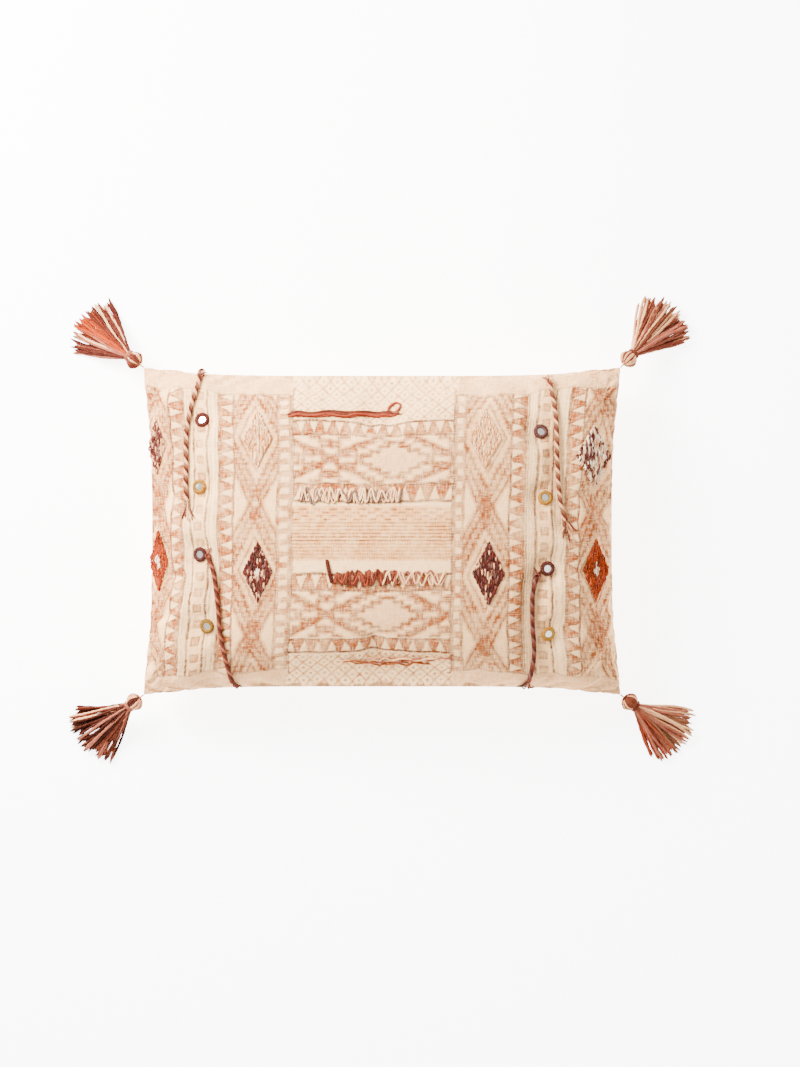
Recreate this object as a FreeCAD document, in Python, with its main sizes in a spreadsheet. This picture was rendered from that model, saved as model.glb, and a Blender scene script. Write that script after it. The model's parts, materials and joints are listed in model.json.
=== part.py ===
"""Throw pillow, 14 x 20 inch: a woven cover with a concealed zip, a stuffed insert, eight stitched mirrors,
embroidered lozenges, laid yarn fringes, four loose twisted cords and a tassel on each corner.

Frame: the pillow lies on its back. +X is its width, +Y its height, +Z points out of its face.
The origin is the middle of the flat patch that it rests on. Units are millimetres.
"""

import FreeCAD, Part
import math
import os

import Sketcher
from FreeCAD import Placement, Rotation, Vector

doc = FreeCAD.newDocument("throw_pillow")
sheet = doc.addObject("Spreadsheet::Sheet", "Dimensions")

# ---------------------------------------------------------------- driving dimensions

SIZES = [
    ("cover_width", 491.0, "corner to corner along X, stuffed"),
    ("cover_height", 337.0, "corner to corner along Y, stuffed"),
    ("side_pull_in", 9.5, "how far the short sides pull in between their corners"),
    ("edge_pull_in", 9.0, "how far the long edges pull in between their corners"),
    ("seam_level", 54.0, "height of the seam above the floor, away from the corners"),
    ("corner_droop", 14.0, "how far each corner tip hangs below the seam level"),
    ("crown_rise", 70.0, "face of the cover above the seam, at the middle"),
    ("belly_drop", 62.0, "back of the cover below the seam before the floor flattens it"),
    ("panel_thickness", 1.4, "cloth of the cover"),
    ("seam_width", 1.8, "folded cloth at the cover's seam"),
    ("layer_gap", 0.4, "clearance between one layer of cloth and the next"),
    ("insert_inset", 12.0, "the insert's seam inside the cover's seam"),
    ("casing_thickness", 0.6, "cloth of the insert"),
    ("casing_seam", 1.0, "folded cloth at the insert's seam"),
    ("zip_length", 340.0, "length of the zip's rows"),
    ("zip_recess", 6.5, "middle of the rows behind the cover's lower edge"),
    ("slot_height", 8.0, "opening in the seam that the zip closes"),
    ("slot_margin", 22.0, "slot beyond each end of the rows"),
    ("hem_height", 4.5, "folded hem beside the slot"),
    ("tape_width", 11.0, "one zip tape"),
    ("tape_thickness", 0.5, "one zip tape"),
    ("tape_margin", 8.0, "tape beyond each end of the rows"),
    ("row_gap", 1.0, "between the two rows of the zip, where the slider's web runs"),
    ("row_height", 1.3, "one row, along Z"),
    ("row_depth", 1.8, "one row, along Y"),
    ("stop_length", 2.5, "end stop of the zip"),
    ("slider_length", 11.0, "zip slider"),
    ("slider_height", 5.6, "zip slider along Z"),
    ("plate_thickness", 0.7, "each plate of the slider"),
    ("slider_clearance", 0.3, "between the slider and what it runs past"),
    ("bar_radius", 0.6, "bar that the pull hangs on"),
    ("knuckle_radius", 1.25, "pull's knuckle round that bar"),
    ("knuckle_width", 3.0, "pull's knuckle along Z"),
    ("bore_clearance", 0.1, "between the bar and the knuckle's bore"),
    ("ear_thickness", 0.7, "each ear that holds the bar"),
    ("ear_half_length", 1.1, "half an ear along the zip"),
    ("ear_rim", 0.2, "ear beyond the bar"),
    ("pull_length", 17.0, "pull from its bar to its tip"),
    ("pull_height", 4.6, "pull along Z"),
    ("pull_thickness", 0.9, "pull"),
    ("grip_start", 2.5, "from the bar to the wide part of the pull"),
    ("label_length", 30.0, "blank care label along the side seam"),
    ("label_width", 7.5, "blank care label across the seam"),
    ("label_thickness", 0.4, "blank care label"),
    ("mirror_diameter", 10.0, "sewn-on mirror"),
    ("mirror_thickness", 1.2, "sewn-on mirror"),
    ("mirror_bevel", 0.25, "edge of the mirror"),
    ("ring_diameter", 15.0, "stitched ring that holds a mirror"),
    ("ring_height", 2.6, "stitched ring"),
    ("ring_overlap", 0.9, "ring over the mirror's rim"),
    ("trim_gap", 0.3, "between the cloth and what is sewn on it"),
    ("lozenge_height", 2.2, "thickness of the embroidery"),
    ("fringe_height", 3.2, "thickness of the laid yarns"),
    ("cord_diameter", 5.0, "twisted cord"),
    ("loop_radius", 1.7, "middle line of a tassel's loop"),
    ("loop_yarn", 1.4, "thickness of the loop's yarn"),
    ("loop_gap", 0.3, "between a corner's tip and the loop"),
    ("head_gap", 0.5, "between the loop and the tassel's head"),
    ("head_length", 16.0, "tassel's head along its axis"),
    ("head_width", 18.0, "tassel's head across its axis"),
    ("wrap_radius", 5.6, "middle line of the yarn wrapped round the neck"),
    ("wrap_yarn", 2.6, "thickness of that wrapping"),
    ("skirt_length", 71.0, "tassel's skirt from neck to tips"),
    ("skirt_neck", 6.6, "width of the skirt at the neck"),
    ("skirt_width", 54.0, "width of the skirt at its tips"),
    ("skirt_depth", 12.0, "thickness of the skirt at its tips"),
    ("floor_gap", 0.6, "between the floor and the tips of each skirt"),
]

# Ratios between the dimensions above.
SLOT_DEPTH = 3.0  # depth of the zip's slot, in zip recesses
SLOT_INSIDE = 1.4  # how far the slot reaches behind the middle of the rows, in row depths
INSERT_GAPS = 1.5  # room between the cover's panels and the insert, in layer gaps
EAR_GAP = 1.5  # half the gap between the slider's ears along the zip, in half ears
RING_WALL = 0.4  # top of a ring's outer wall, in ring heights
RING_SLOPE = (0.35, 0.9)  # how far in and how high a ring's outer slope ends, in ring heights
RING_LIP = 0.85  # top of a ring's lip, in ring heights
ROUND_EXCESS = 0.01  # an ellipse's longer side over its shorter one, where the skirt is all but round


def fill_sheet():
    """Writes the driving dimensions to the sheet, one alias a row."""
    for row, (alias, value, note) in enumerate(SIZES, start=1):
        sheet.set(f"A{row}", alias)
        sheet.set(f"B{row}", str(value))
        sheet.set(f"C{row}", note)
        sheet.setAlias(f"B{row}", alias)
    doc.recompute()


fill_sheet()
size = {alias: float(sheet.get(alias)) for alias, _, _ in SIZES}

# ---------------------------------------------------------------- where the trim lies

# A share runs from -1 to 1: from the cover's left or lower corners to its right or upper ones.
# Stitched mirrors: name, share of the width, share of the height.
MIRRORS = [
    ("left_1", -0.745, 0.671),
    ("left_2", -0.754, 0.267),
    ("left_3", -0.751, -0.141),
    ("left_4", -0.724, -0.573),
    ("right_1", 0.658, 0.599),
    ("right_2", 0.675, 0.200),
    ("right_3", 0.684, -0.226),
    ("right_4", 0.688, -0.619),
]
# Embroidered lozenges: name, share of the width, share of the height, width, height.
LOZENGES = [
    ("left_upper", -0.933, 0.504, 16.0, 56.0),
    ("left_lower", -0.923, -0.187, 18.0, 64.0),
    ("middle_left", -0.511, -0.249, 29.0, 60.0),
    ("middle_right", 0.440, -0.258, 32.0, 64.0),
    ("right_upper", 0.876, 0.451, 34.0, 62.0),
    ("right_lower", 0.884, -0.240, 25.0, 62.0),
]
# Laid yarn fringes: name, share of the width, share of the height, width, height.
FRINGES = [
    ("top", -0.153, 0.694, 118.0, 7.0),
    ("upper", -0.116, 0.208, 114.0, 20.0),
    ("lower", 0.035, -0.276, 124.0, 22.0),
    ("bottom", 0.077, -0.774, 128.0, 10.0),
]
# Loose twisted cords, each held at its first point: x, y, height of the cord's middle above the cloth.
CORDS = {
    "left_upper": [
        (-185.5, 159.0, 5.0),
        (-187.0, 148.5, 4.2),
        (-192.5, 131.0, 4.0),
        (-197.0, 111.0, 3.9),
        (-198.5, 88.5, 3.8),
        (-197.5, 65.0, 3.7),
        (-198.5, 44.5, 3.7),
        (-196.5, 29.5, 3.7),
    ],
    "left_lower": [
        (-175.5, -25.5, 4.0),
        (-170.5, -37.0, 3.9),
        (-168.0, -54.5, 3.8),
        (-165.5, -77.0, 3.8),
        (-164.5, -99.5, 3.9),
        (-160.5, -121.5, 4.0),
        (-156.5, -139.5, 4.3),
        (-152.5, -151.5, 5.0),
    ],
    "right_upper": [
        (171.0, 150.0, 4.6),
        (173.5, 136.5, 4.1),
        (176.5, 117.5, 3.9),
        (177.5, 94.5, 3.8),
        (177.0, 71.0, 3.7),
        (178.5, 48.0, 3.7),
        (180.0, 27.0, 3.7),
        (186.0, 10.5, 3.7),
    ],
    "right_lower": [
        (157.0, -46.0, 3.9),
        (152.5, -57.5, 3.8),
        (152.0, -76.5, 3.8),
        (152.5, -98.0, 3.9),
        (155.0, -118.5, 4.0),
        (153.5, -137.5, 4.3),
        (150.0, -150.5, 5.0),
    ],
}
# Tassels: name, which corner (signs of x and y), heading in degrees from +X.
TASSELS = [
    ("upper_left", -1, 1, 141.5),
    ("upper_right", 1, 1, 46.0),
    ("lower_left", -1, -1, 218.0),
    ("lower_right", 1, -1, 322.5),
]

# ---------------------------------------------------------------- the stuffed shape

SIDE_POWER = 3  # how late the short sides turn out to their corners
EDGE_POWER = 5  # how late the long edges do
FULLNESS = 1.2  # slope of the cloth at the seam, against an ellipse
DROOP_FROM = 0.68  # share of the half width and height past which a corner droops
FLOOR_SOFTNESS = 3.0  # how gently the insert's underside turns flat over the floor
GRID = (33, 25)  # points that a panel's surface is drawn through, along X and Y
TRIM_STEPS = 7  # points each way that a sewn-on patch is drawn through


def droop(share_x, share_y):
    """How far the seam hangs, that share of the way from the middle to the cover's own edges."""
    past = [max(0.0, abs(share) - DROOP_FROM) / (1.0 - DROOP_FROM) for share in (share_x, share_y)]
    return size["corner_droop"] * past[0] ** 2 * past[1] ** 2


def swell(theta, phi):
    """The stuffed height at those angles, as a share of the height at the middle."""
    share = max(0.0, math.cos(theta) * math.cos(phi))
    return share * (FULLNESS - (FULLNESS - 1.0) * share**2)


def half_width(v, inset):
    """Half the pillow's width at v."""
    return size["cover_width"] / 2 - inset - size["side_pull_in"] * (1 - abs(v) ** SIDE_POWER)


def half_height(u, inset):
    """Half the pillow's height at u."""
    return size["cover_height"] / 2 - inset - size["edge_pull_in"] * (1 - abs(u) ** EDGE_POWER)


def stuffed_point(theta, phi, inset, rise, shift, floor=None):
    """A point of a panel: angles from -90 to 90 degrees run from seam to seam."""
    u, v = math.sin(theta), math.sin(phi)
    x, y = u * half_width(v, inset), v * half_height(u, inset)
    hang = droop(x / half_width(v, 0.0), y / half_height(u, 0.0))
    z = size["seam_level"] - hang + shift + rise * swell(theta, phi)
    if floor is not None:
        z = floor + (z - floor + math.hypot(z - floor, FLOOR_SOFTNESS)) / 2
    return Vector(x, y, z)


def on_cover(share_x, share_y):
    """The x and y of a place on the cover."""
    return share_x * size["cover_width"] / 2, share_y * size["cover_height"] / 2


def face_height(x, y):
    """Height of the cover's face over x, y."""
    u, v = 0.0, 0.0
    for _ in range(12):
        u = max(-1.0, min(1.0, x / half_width(v, 0.0)))
        v = max(-1.0, min(1.0, y / half_height(u, 0.0)))
    return stuffed_point(math.asin(u), math.asin(v), 0.0, size["crown_rise"], 0.0).z


def face_normal(x, y):
    """Outward direction of the cover's face over x, y."""
    step = 0.5
    along = (face_height(x + step, y) - face_height(x - step, y)) / (2 * step)
    across = (face_height(x, y + step) - face_height(x, y - step)) / (2 * step)
    return Vector(-along, -across, 1.0).normalize()


def through(points):
    """A cubic curve through points, evenly spaced in its parameter."""
    curve = Part.BSplineCurve()
    curve.interpolate(Points=points, Parameters=[float(i) for i in range(len(points))])
    return curve


def smooth_surface(rows):
    """A bicubic surface through rows of points. Two that share an edge's points share that edge."""
    across = [through(row) for row in rows]
    along = [through([curve.getPole(j + 1) for curve in across]) for j in range(across[0].NbPoles)]
    poles = [[curve.getPole(i + 1) for curve in along] for i in range(along[0].NbPoles)]
    surface = Part.BSplineSurface()
    surface.buildFromPolesMultsKnots(
        poles,
        along[0].getMultiplicities(),
        across[0].getMultiplicities(),
        along[0].getKnots(),
        across[0].getKnots(),
        False,
        False,
        3,
        3,
    )
    return surface


def closed_solid(faces):
    """The solid that faces enclose."""
    sewn = Part.makeCompound(faces)
    sewn.sewShape()
    solid = Part.makeSolid(sewn.Shells[0])
    if solid.Volume < 0:
        solid.reverse()
    return solid


def solid_between(lower, upper):
    """The solid between two surfaces, with straight sides from each edge to the same edge of the other."""
    first_u, last_u, first_v, last_v = lower.bounds()
    faces = [lower.toShape(), upper.toShape()]
    for end in (first_u, last_u):
        faces.append(Part.makeRuledSurface(lower.uIso(end).toShape(), upper.uIso(end).toShape()))
    for end in (first_v, last_v):
        faces.append(Part.makeRuledSurface(lower.vIso(end).toShape(), upper.vIso(end).toShape()))
    return closed_solid(faces)


def panel_surface(inset, rise, shift, floor=None):
    """A panel from seam to seam. It drops if its rise is negative, but not through a floor."""
    turns_x = [math.pi * (i / (GRID[0] - 1) - 0.5) for i in range(GRID[0])]
    turns_y = [math.pi * (j / (GRID[1] - 1) - 0.5) for j in range(GRID[1])]
    rows = [[stuffed_point(a, b, inset, rise, shift, floor) for b in turns_y] for a in turns_x]
    return smooth_surface(rows)


def stuffed_solid(inset, rise, drop, shift=0.0):
    """The closed solid between a panel that rises and one that drops from the same seam."""
    upper = panel_surface(inset, rise, shift)
    lower = panel_surface(inset, -drop, shift)
    return closed_solid([upper.toShape(), lower.toShape()])


def shape_feature(name, shape):
    """A document object that holds a shape worked out in this file."""
    feature = doc.addObject("Part::Feature", name)
    feature.Shape = shape
    return feature


def block(name, expressions, position):
    """A Part::Box whose sizes and place are bound to the sheet. expressions and position: x, y, z."""
    box = doc.addObject("Part::Box", name)
    for key, expression in zip(("Length", "Width", "Height"), expressions):
        box.setExpression(key, expression)
    for key, expression in zip("xyz", position):
        box.setExpression(f"Placement.Base.{key}", expression)
    return box


def boolean(kind, name, base, tool):
    """A Part::Cut, Part::Fuse or Part::Common of two document objects."""
    result = doc.addObject(f"Part::{kind}", name)
    result.Base = base
    result.Tool = tool
    return result


D = "Dimensions."  # how an expression names a cell of the sheet
ZIP_Y = f"-({D}cover_height / 2 - {D}edge_pull_in - {D}zip_recess)"  # middle of the zip's rows
exported = {}  # node name to document object


def export(node, feature):
    feature.Label = node
    exported[node] = feature
    return feature


# ---------------------------------------------------------------- cover


def above(name, level):
    """A large block over that level, to keep what lies above it."""
    reach = f"{D}cover_width * 2"
    return block(name, (reach, reach, f"{D}crown_rise * 4"), (f"-({reach}) / 2", f"-({reach}) / 2", level))


def zip_slot(name):
    """The opening that the zip closes, in the lower seam."""
    long = f"({D}zip_length + 2 * {D}slot_margin)"
    deep = f"({D}zip_recess * {SLOT_DEPTH})"
    return block(
        name,
        (long, deep, f"{D}slot_height"),
        (f"-{long} / 2", f"{ZIP_Y} - {deep} + {D}row_depth * {SLOT_INSIDE}", f"{D}seam_level - {D}slot_height / 2"),
    )


def hem(name, side):
    """The cover's folded hem beside the slot, on the front (1) or back (-1)."""
    long = f"({D}zip_length + 2 * {D}slot_margin)"
    back = f"({ZIP_Y} + {D}row_depth / 2 - {D}slider_clearance)"
    deep = f"({D}zip_recess - {D}row_depth / 2 - {D}seam_width / 2 + {D}slider_clearance)"
    edge = f"{D}seam_level + {side} * {D}slot_height / 2"
    bottom = edge if side > 0 else f"{edge} - {D}hem_height"
    return block(name, (long, deep, f"{D}hem_height"), (f"-{long} / 2", f"{back} - {deep}", bottom))


def front_panel():
    """The woven face: a shell from the crown to the seam, with the slot cut from its lower edge."""
    gap, wall = size["layer_gap"] / 2, size["panel_thickness"]
    outside = shape_feature("front_outside", stuffed_solid(0.0, size["crown_rise"] - gap, 0.0, gap))
    hollow = stuffed_solid(size["seam_width"], size["crown_rise"] - wall, wall)
    inside = shape_feature("front_inside", hollow)
    shell = boolean("Cut", "front_shell", outside, inside)
    hemmed = boolean("Fuse", "front_hemmed", shell, hem("front_hem", 1))
    export("front_panel", boolean("Cut", "front_panel", hemmed, zip_slot("front_slot")))


def back_panel():
    """The plain back: a shell from the seam down to the flat patch that the pillow rests on."""
    gap, wall = size["layer_gap"] / 2, size["panel_thickness"]
    outside = shape_feature("back_outside", stuffed_solid(0.0, 0.0, size["belly_drop"] - gap, -gap))
    inner = stuffed_solid(size["seam_width"], wall, size["belly_drop"] - wall)
    inside = shape_feature("back_inside", inner)
    rested = boolean("Common", "back_rested", outside, above("back_floor", "0"))
    hollow = boolean("Common", "back_hollow", inside, above("back_lining", f"{D}panel_thickness"))
    shell = boolean("Cut", "back_shell", rested, hollow)
    hemmed = boolean("Fuse", "back_hemmed", shell, hem("back_hem", -1))
    export("back_panel", boolean("Cut", "back_panel", hemmed, zip_slot("back_slot")))


def care_label():
    """A blank label in the side seam, between cover and insert."""
    place = (
        f"-({D}cover_width / 2 - {D}side_pull_in - {D}seam_width - {D}layer_gap)",
        f"-{D}label_length / 2",
        f"{D}seam_level - {D}label_thickness / 2",
    )
    sides = (f"{D}label_width", f"{D}label_length", f"{D}label_thickness")
    export("care_label", block("care_label", sides, place))


# ---------------------------------------------------------------- insert


def insert():
    """The stuffed insert: a front and a back casing, and the fill between them."""
    inset, wall, gap = size["insert_inset"], size["casing_thickness"], size["layer_gap"]
    inner_inset = inset + size["casing_seam"]
    rise = size["crown_rise"] - size["panel_thickness"] - INSERT_GAPS * gap
    drop = size["belly_drop"] - size["panel_thickness"] - INSERT_GAPS * gap
    floor = size["panel_thickness"] + gap

    outer = panel_surface(inset, rise, gap / 2)
    inner = panel_surface(inner_inset, rise - wall, gap / 2)
    export("insert_casing_front", shape_feature("insert_casing_front", solid_between(inner, outer)))

    outer = panel_surface(inset, -drop, -gap / 2, floor)
    inner = panel_surface(inner_inset, wall - drop, -gap / 2, floor + wall)
    export("insert_casing_back", shape_feature("insert_casing_back", solid_between(outer, inner)))

    fill_inset, fill_floor = inner_inset + gap, floor + wall + gap
    upper = panel_surface(fill_inset, rise - wall - gap, 0.0, fill_floor)
    lower = panel_surface(fill_inset, wall + gap - drop, 0.0, fill_floor)
    stuffing = closed_solid([upper.toShape(), lower.toShape()])
    export("insert_fill", shape_feature("insert_fill", stuffing))


# ---------------------------------------------------------------- zip


def zip_row(name, side):
    """One row of the zip, above (1) or below (-1) the middle of the slot."""
    near = f"{D}seam_level + {side} * {D}row_gap / 2"
    bottom = near if side > 0 else f"{near} - {D}row_height"
    place = (f"-{D}zip_length / 2", f"{ZIP_Y} - {D}row_depth / 2", bottom)
    export(name, block(name, (f"{D}zip_length", f"{D}row_depth", f"{D}row_height"), place))


def zip_tape(name, side):
    """One tape of the zip, behind its row and behind the hem that it is sewn to."""
    long = f"({D}zip_length + 2 * {D}tape_margin)"
    near = f"{D}seam_level + {side} * {D}row_gap / 2"
    bottom = near if side > 0 else f"{near} - {D}tape_width"
    place = (f"-{long} / 2", f"{ZIP_Y} + {D}row_depth / 2", bottom)
    export(name, block(name, (long, f"{D}tape_thickness", f"{D}tape_width"), place))


def zip_stops():
    """The stop at each end of the rows, two solids in one node."""
    high = f"({D}row_gap + 2 * {D}row_height)"
    stops = []
    for end, start in (("closed", f"{D}zip_length / 2"), ("open", f"-{D}zip_length / 2 - {D}stop_length")):
        place = (start, f"{ZIP_Y} - {D}row_depth / 2", f"{D}seam_level - {high} / 2")
        stops.append(block(f"{end}_stop", (f"{D}stop_length", f"{D}row_depth", high), place))
    group = doc.addObject("Part::Compound", "zip_stops")
    group.Links = stops
    export("zip_stops", group)


def base_plane(body, role):
    return [f for f in body.Origin.OriginFeatures if f.Role == role][0]


def new_sketch(body, name, role, offset=None):
    """A sketch on one of its body's own planes, raised by an expression if one is given."""
    sketch = body.newObject("Sketcher::SketchObject", name)
    sketch.AttachmentSupport = (base_plane(body, role), [""])
    sketch.MapMode = "FlatFace"
    if offset is not None:
        sketch.setExpression("AttachmentOffset.Base.z", offset)
    doc.recompute()
    return sketch


def worked_out(expression):
    """The number that an expression gives."""
    value = sheet.evalExpression(expression.replace(D, ""))
    return float(getattr(value, "Value", value))


def bind_point(sketch, edge, corner, expressions):
    """Ties a corner of an edge to the sketch's origin by two bound distances."""
    for kind, expression in zip(("DistanceX", "DistanceY"), expressions):
        value = worked_out(expression)
        index = sketch.addConstraint(Sketcher.Constraint(kind, -1, 1, edge, corner, value))
        label = f"{kind}_{edge}"
        sketch.renameConstraint(index, label)
        sketch.setExpression(f"Constraints.{label}", expression)


def polygon(sketch, corners):
    """A closed outline through corners, each an x and a y expression."""
    points = [Vector(worked_out(x), worked_out(y), 0) for x, y in corners]
    for start, end in zip(points, points[1:] + points[:1]):
        sketch.addGeometry(Part.LineSegment(start, end), False)
    for edge in range(len(points)):
        following = (edge + 1) % len(points)
        sketch.addConstraint(Sketcher.Constraint("Coincident", edge, 2, following, 1))
    for edge, expressions in enumerate(corners):
        bind_point(sketch, edge, 1, expressions)
    doc.recompute()


def disc(sketch, radius):
    """A circle round the sketch's origin, with its radius bound to an expression."""
    sketch.addGeometry(Part.Circle(Vector(0, 0, 0), Vector(0, 0, 1), worked_out(radius)), False)
    sketch.addConstraint(Sketcher.Constraint("Coincident", 0, 3, -1, 1))
    index = sketch.addConstraint(Sketcher.Constraint("Radius", 0, worked_out(radius)))
    sketch.renameConstraint(index, "radius")
    sketch.setExpression("Constraints.radius", radius)
    doc.recompute()


def rectangle(left, right, low, high):
    return [(left, low), (right, low), (right, high), (left, high)]


def pad(body, name, sketch, length, both_ways=False):
    feature = body.newObject("PartDesign::Pad", name)
    feature.Profile = sketch
    feature.setExpression("Length", length)
    feature.Midplane = both_ways
    doc.recompute()
    return feature


# The slider's own frame: x along the zip, y out of the pillow, z up; its origin is the rows' middle.
ROW_HALF = f"({D}row_depth / 2)"
FRONT_PLATE = f"({ROW_HALF} + {D}slider_clearance)"
BACK_PLATE = f"({ROW_HALF} + {D}tape_thickness + {D}slider_clearance)"
BAR_OUT = f"({FRONT_PLATE} + {D}plate_thickness + {D}slider_clearance + {D}knuckle_radius)"
SLIDER_X = f"({D}zip_length / 2 - {D}slider_length / 2 - {D}slider_clearance)"


def outline_pad(body, name, corners, length):
    """A pad of a polygon drawn in the body's XY plane, the same each side of that plane."""
    sketch = new_sketch(body, f"{name}_outline", "XY_Plane")
    polygon(sketch, corners)
    return pad(body, name, sketch, length, True)


def zip_slider():
    """Two plates joined by a thin web between the rows, and two ears with a bar for the pull."""
    body = doc.addObject("PartDesign::Body", "zip_slider")
    half = f"{D}slider_length / 2"
    web = f"{D}slider_length / 4"
    front = (FRONT_PLATE, f"{FRONT_PLATE} + {D}plate_thickness")
    back = (f"-{BACK_PLATE} - {D}plate_thickness", f"-{BACK_PLATE}")
    into_plate = f"{D}plate_thickness / 2"
    web_sides = rectangle(f"-{web}", web, f"-{BACK_PLATE} - {into_plate}", f"{FRONT_PLATE} + {into_plate}")
    outline_pad(body, "slider_web", web_sides, f"{D}row_gap - 2 * {D}slider_clearance")
    outline_pad(body, "slider_front_plate", rectangle(f"-{half}", half, *front), f"{D}slider_height")
    outline_pad(body, "slider_back_plate", rectangle(f"-{half}", half, *back), f"{D}slider_height")
    ear_out = f"{BAR_OUT} + {D}bar_radius + {D}ear_rim"
    ears = rectangle(f"-{D}ear_half_length", f"{D}ear_half_length", FRONT_PLATE, ear_out)
    span = f"({D}knuckle_width + 2 * {D}slider_clearance)"
    ear_sketch = new_sketch(body, "ear_outline", "XY_Plane")
    polygon(ear_sketch, ears)
    pad(body, "ears", ear_sketch, f"{span} + 2 * {D}ear_thickness", True)
    gap_sketch = new_sketch(body, "ear_gap_outline", "XY_Plane")
    gap_in = f"{FRONT_PLATE} + {D}plate_thickness"
    gap_half = f"{D}ear_half_length * {EAR_GAP}"
    polygon(gap_sketch, rectangle(f"-{gap_half}", gap_half, gap_in, f"{ear_out} + 1"))
    pocket = body.newObject("PartDesign::Pocket", "ear_gap")
    pocket.Profile = gap_sketch
    pocket.setExpression("Length", span)
    pocket.Midplane = True
    doc.recompute()
    bar_sketch = new_sketch(body, "bar_outline", "XY_Plane")
    bar_sketch.setExpression("AttachmentOffset.Base.y", BAR_OUT)
    doc.recompute()
    disc(bar_sketch, f"{D}bar_radius")
    pad(body, "bar", bar_sketch, f"{span} + {D}ear_thickness", True)
    place_on_zip(body, SLIDER_X, ZIP_Y)
    export("zip_slider", body)


def place_on_zip(body, along, across):
    """Turns a body of the zip to face out of the lower edge and puts it there."""
    body.Placement = Placement(Vector(0, 0, 0), Rotation(Vector(1, 0, 0), 180))
    body.setExpression("Placement.Base.x", along)
    body.setExpression("Placement.Base.y", across)
    body.setExpression("Placement.Base.z", f"{D}seam_level")


def zip_pull():
    """The tab on the slider's bar: a knuckle, a narrow shank and a wider grip. Its origin is the bar."""
    body = doc.addObject("PartDesign::Body", "zip_pull")
    knuckle = new_sketch(body, "knuckle_outline", "XY_Plane")
    disc(knuckle, f"{D}knuckle_radius")
    pad(body, "knuckle", knuckle, f"{D}knuckle_width", True)
    outer = (f"{D}knuckle_radius - {D}pull_thickness", f"{D}knuckle_radius")
    tip, grip_start = f"-{D}pull_length", f"-{D}grip_start"
    shank_end = f"{grip_start} - {D}pull_thickness"
    outline_pad(body, "shank", rectangle(shank_end, "0", *outer), f"{D}knuckle_width")
    outline_pad(body, "grip", rectangle(tip, grip_start, *outer), f"{D}pull_height")
    bore = new_sketch(body, "bore_outline", "XY_Plane")
    disc(bore, f"{D}bar_radius + {D}bore_clearance")
    hole = body.newObject("PartDesign::Pocket", "bore")
    hole.Profile = bore
    hole.setExpression("Length", f"{D}knuckle_width + 2")
    hole.Midplane = True
    doc.recompute()
    place_on_zip(body, SLIDER_X, f"{ZIP_Y} - {BAR_OUT}")
    export("zip_pull", body)


# ---------------------------------------------------------------- mirrors


def sewn_placement(x, y):
    """The placement of a flat piece that is sewn to the face over x, y."""
    normal = face_normal(x, y)
    place = Vector(x, y, face_height(x, y)) + normal * size["trim_gap"]
    return Placement(place, Rotation(Vector(0, 0, 1), normal))


def mirror(name, placement):
    """A bevelled round mirror."""
    body = doc.addObject("PartDesign::Body", name)
    outline = new_sketch(body, f"{name}_outline", "XY_Plane")
    disc(outline, f"{D}mirror_diameter / 2")
    plate = pad(body, f"{name}_plate", outline, f"{D}mirror_thickness")
    top = max(range(len(plate.Shape.Edges)), key=lambda i: plate.Shape.Edges[i].BoundBox.ZMin)
    bevel = body.newObject("PartDesign::Chamfer", f"{name}_bevel")
    bevel.Base = (plate, [f"Edge{top + 1}"])
    bevel.setExpression("Size", f"{D}mirror_bevel")
    doc.recompute()
    body.Placement = placement
    export(name, body)


def mirror_ring(name, placement):
    """The ring of stitches round a mirror, with a lip over the mirror's rim."""
    body = doc.addObject("PartDesign::Body", name)
    profile = new_sketch(body, f"{name}_profile", "XZ_Plane")
    rim = f"({D}mirror_diameter / 2 + {D}trim_gap / 2)"
    lip = f"({D}mirror_diameter / 2 - {D}ring_overlap)"
    outer = f"({D}ring_diameter / 2)"
    under = f"({D}mirror_thickness + {D}trim_gap / 2)"
    slope_in, slope_top = RING_SLOPE
    corners = [
        (rim, "0"),
        (outer, "0"),
        (outer, f"{D}ring_height * {RING_WALL}"),
        (f"{outer} - {D}ring_height * {slope_in}", f"{D}ring_height * {slope_top}"),
        (f"({outer} + {lip}) / 2", f"{D}ring_height"),
        (lip, f"{D}ring_height * {RING_LIP}"),
        (lip, under),
        (rim, under),
    ]
    polygon(profile, corners)
    ring = body.newObject("PartDesign::Revolution", f"{name}_ring")
    ring.Profile = profile
    ring.ReferenceAxis = (profile, ["V_Axis"])
    ring.Angle = 360.0
    doc.recompute()
    body.Placement = placement
    export(name, body)


# ---------------------------------------------------------------- trim that follows the face


def following_solid(point):
    """A thin solid on the face. point(s, t, top) gives its points, s and t from -1 to 1."""
    steps = [2 * i / (TRIM_STEPS - 1) - 1 for i in range(TRIM_STEPS)]

    def side(top):
        return smooth_surface([[point(s, t, top) for t in steps] for s in steps])

    return solid_between(side(False), side(True))


def on_face(x, y, height):
    """The point that stands out from the face over x, y by that height."""
    return Vector(x, y, face_height(x, y)) + face_normal(x, y) * height


def lozenge(name, x, y, width, height):
    """A pad of embroidery with a point at each side, top and bottom."""

    def point(s, t, top):
        out = size["trim_gap"] + (size["lozenge_height"] if top else 0.0)
        return on_face(x + width * (s + t) / 4, y + height * (s - t) / 4, out)

    export(name, shape_feature(name, following_solid(point)))


def fringe(name, x, y, width, height):
    """A band of laid yarns."""

    def point(s, t, top):
        out = size["trim_gap"] + (size["fringe_height"] if top else 0.0)
        return on_face(x + width * s / 2, y + height * t / 2, out)

    export(name, shape_feature(name, following_solid(point)))


# ---------------------------------------------------------------- loose cords

BEND_SHARE = 0.45  # share of the shorter run that an arc takes from it


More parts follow.
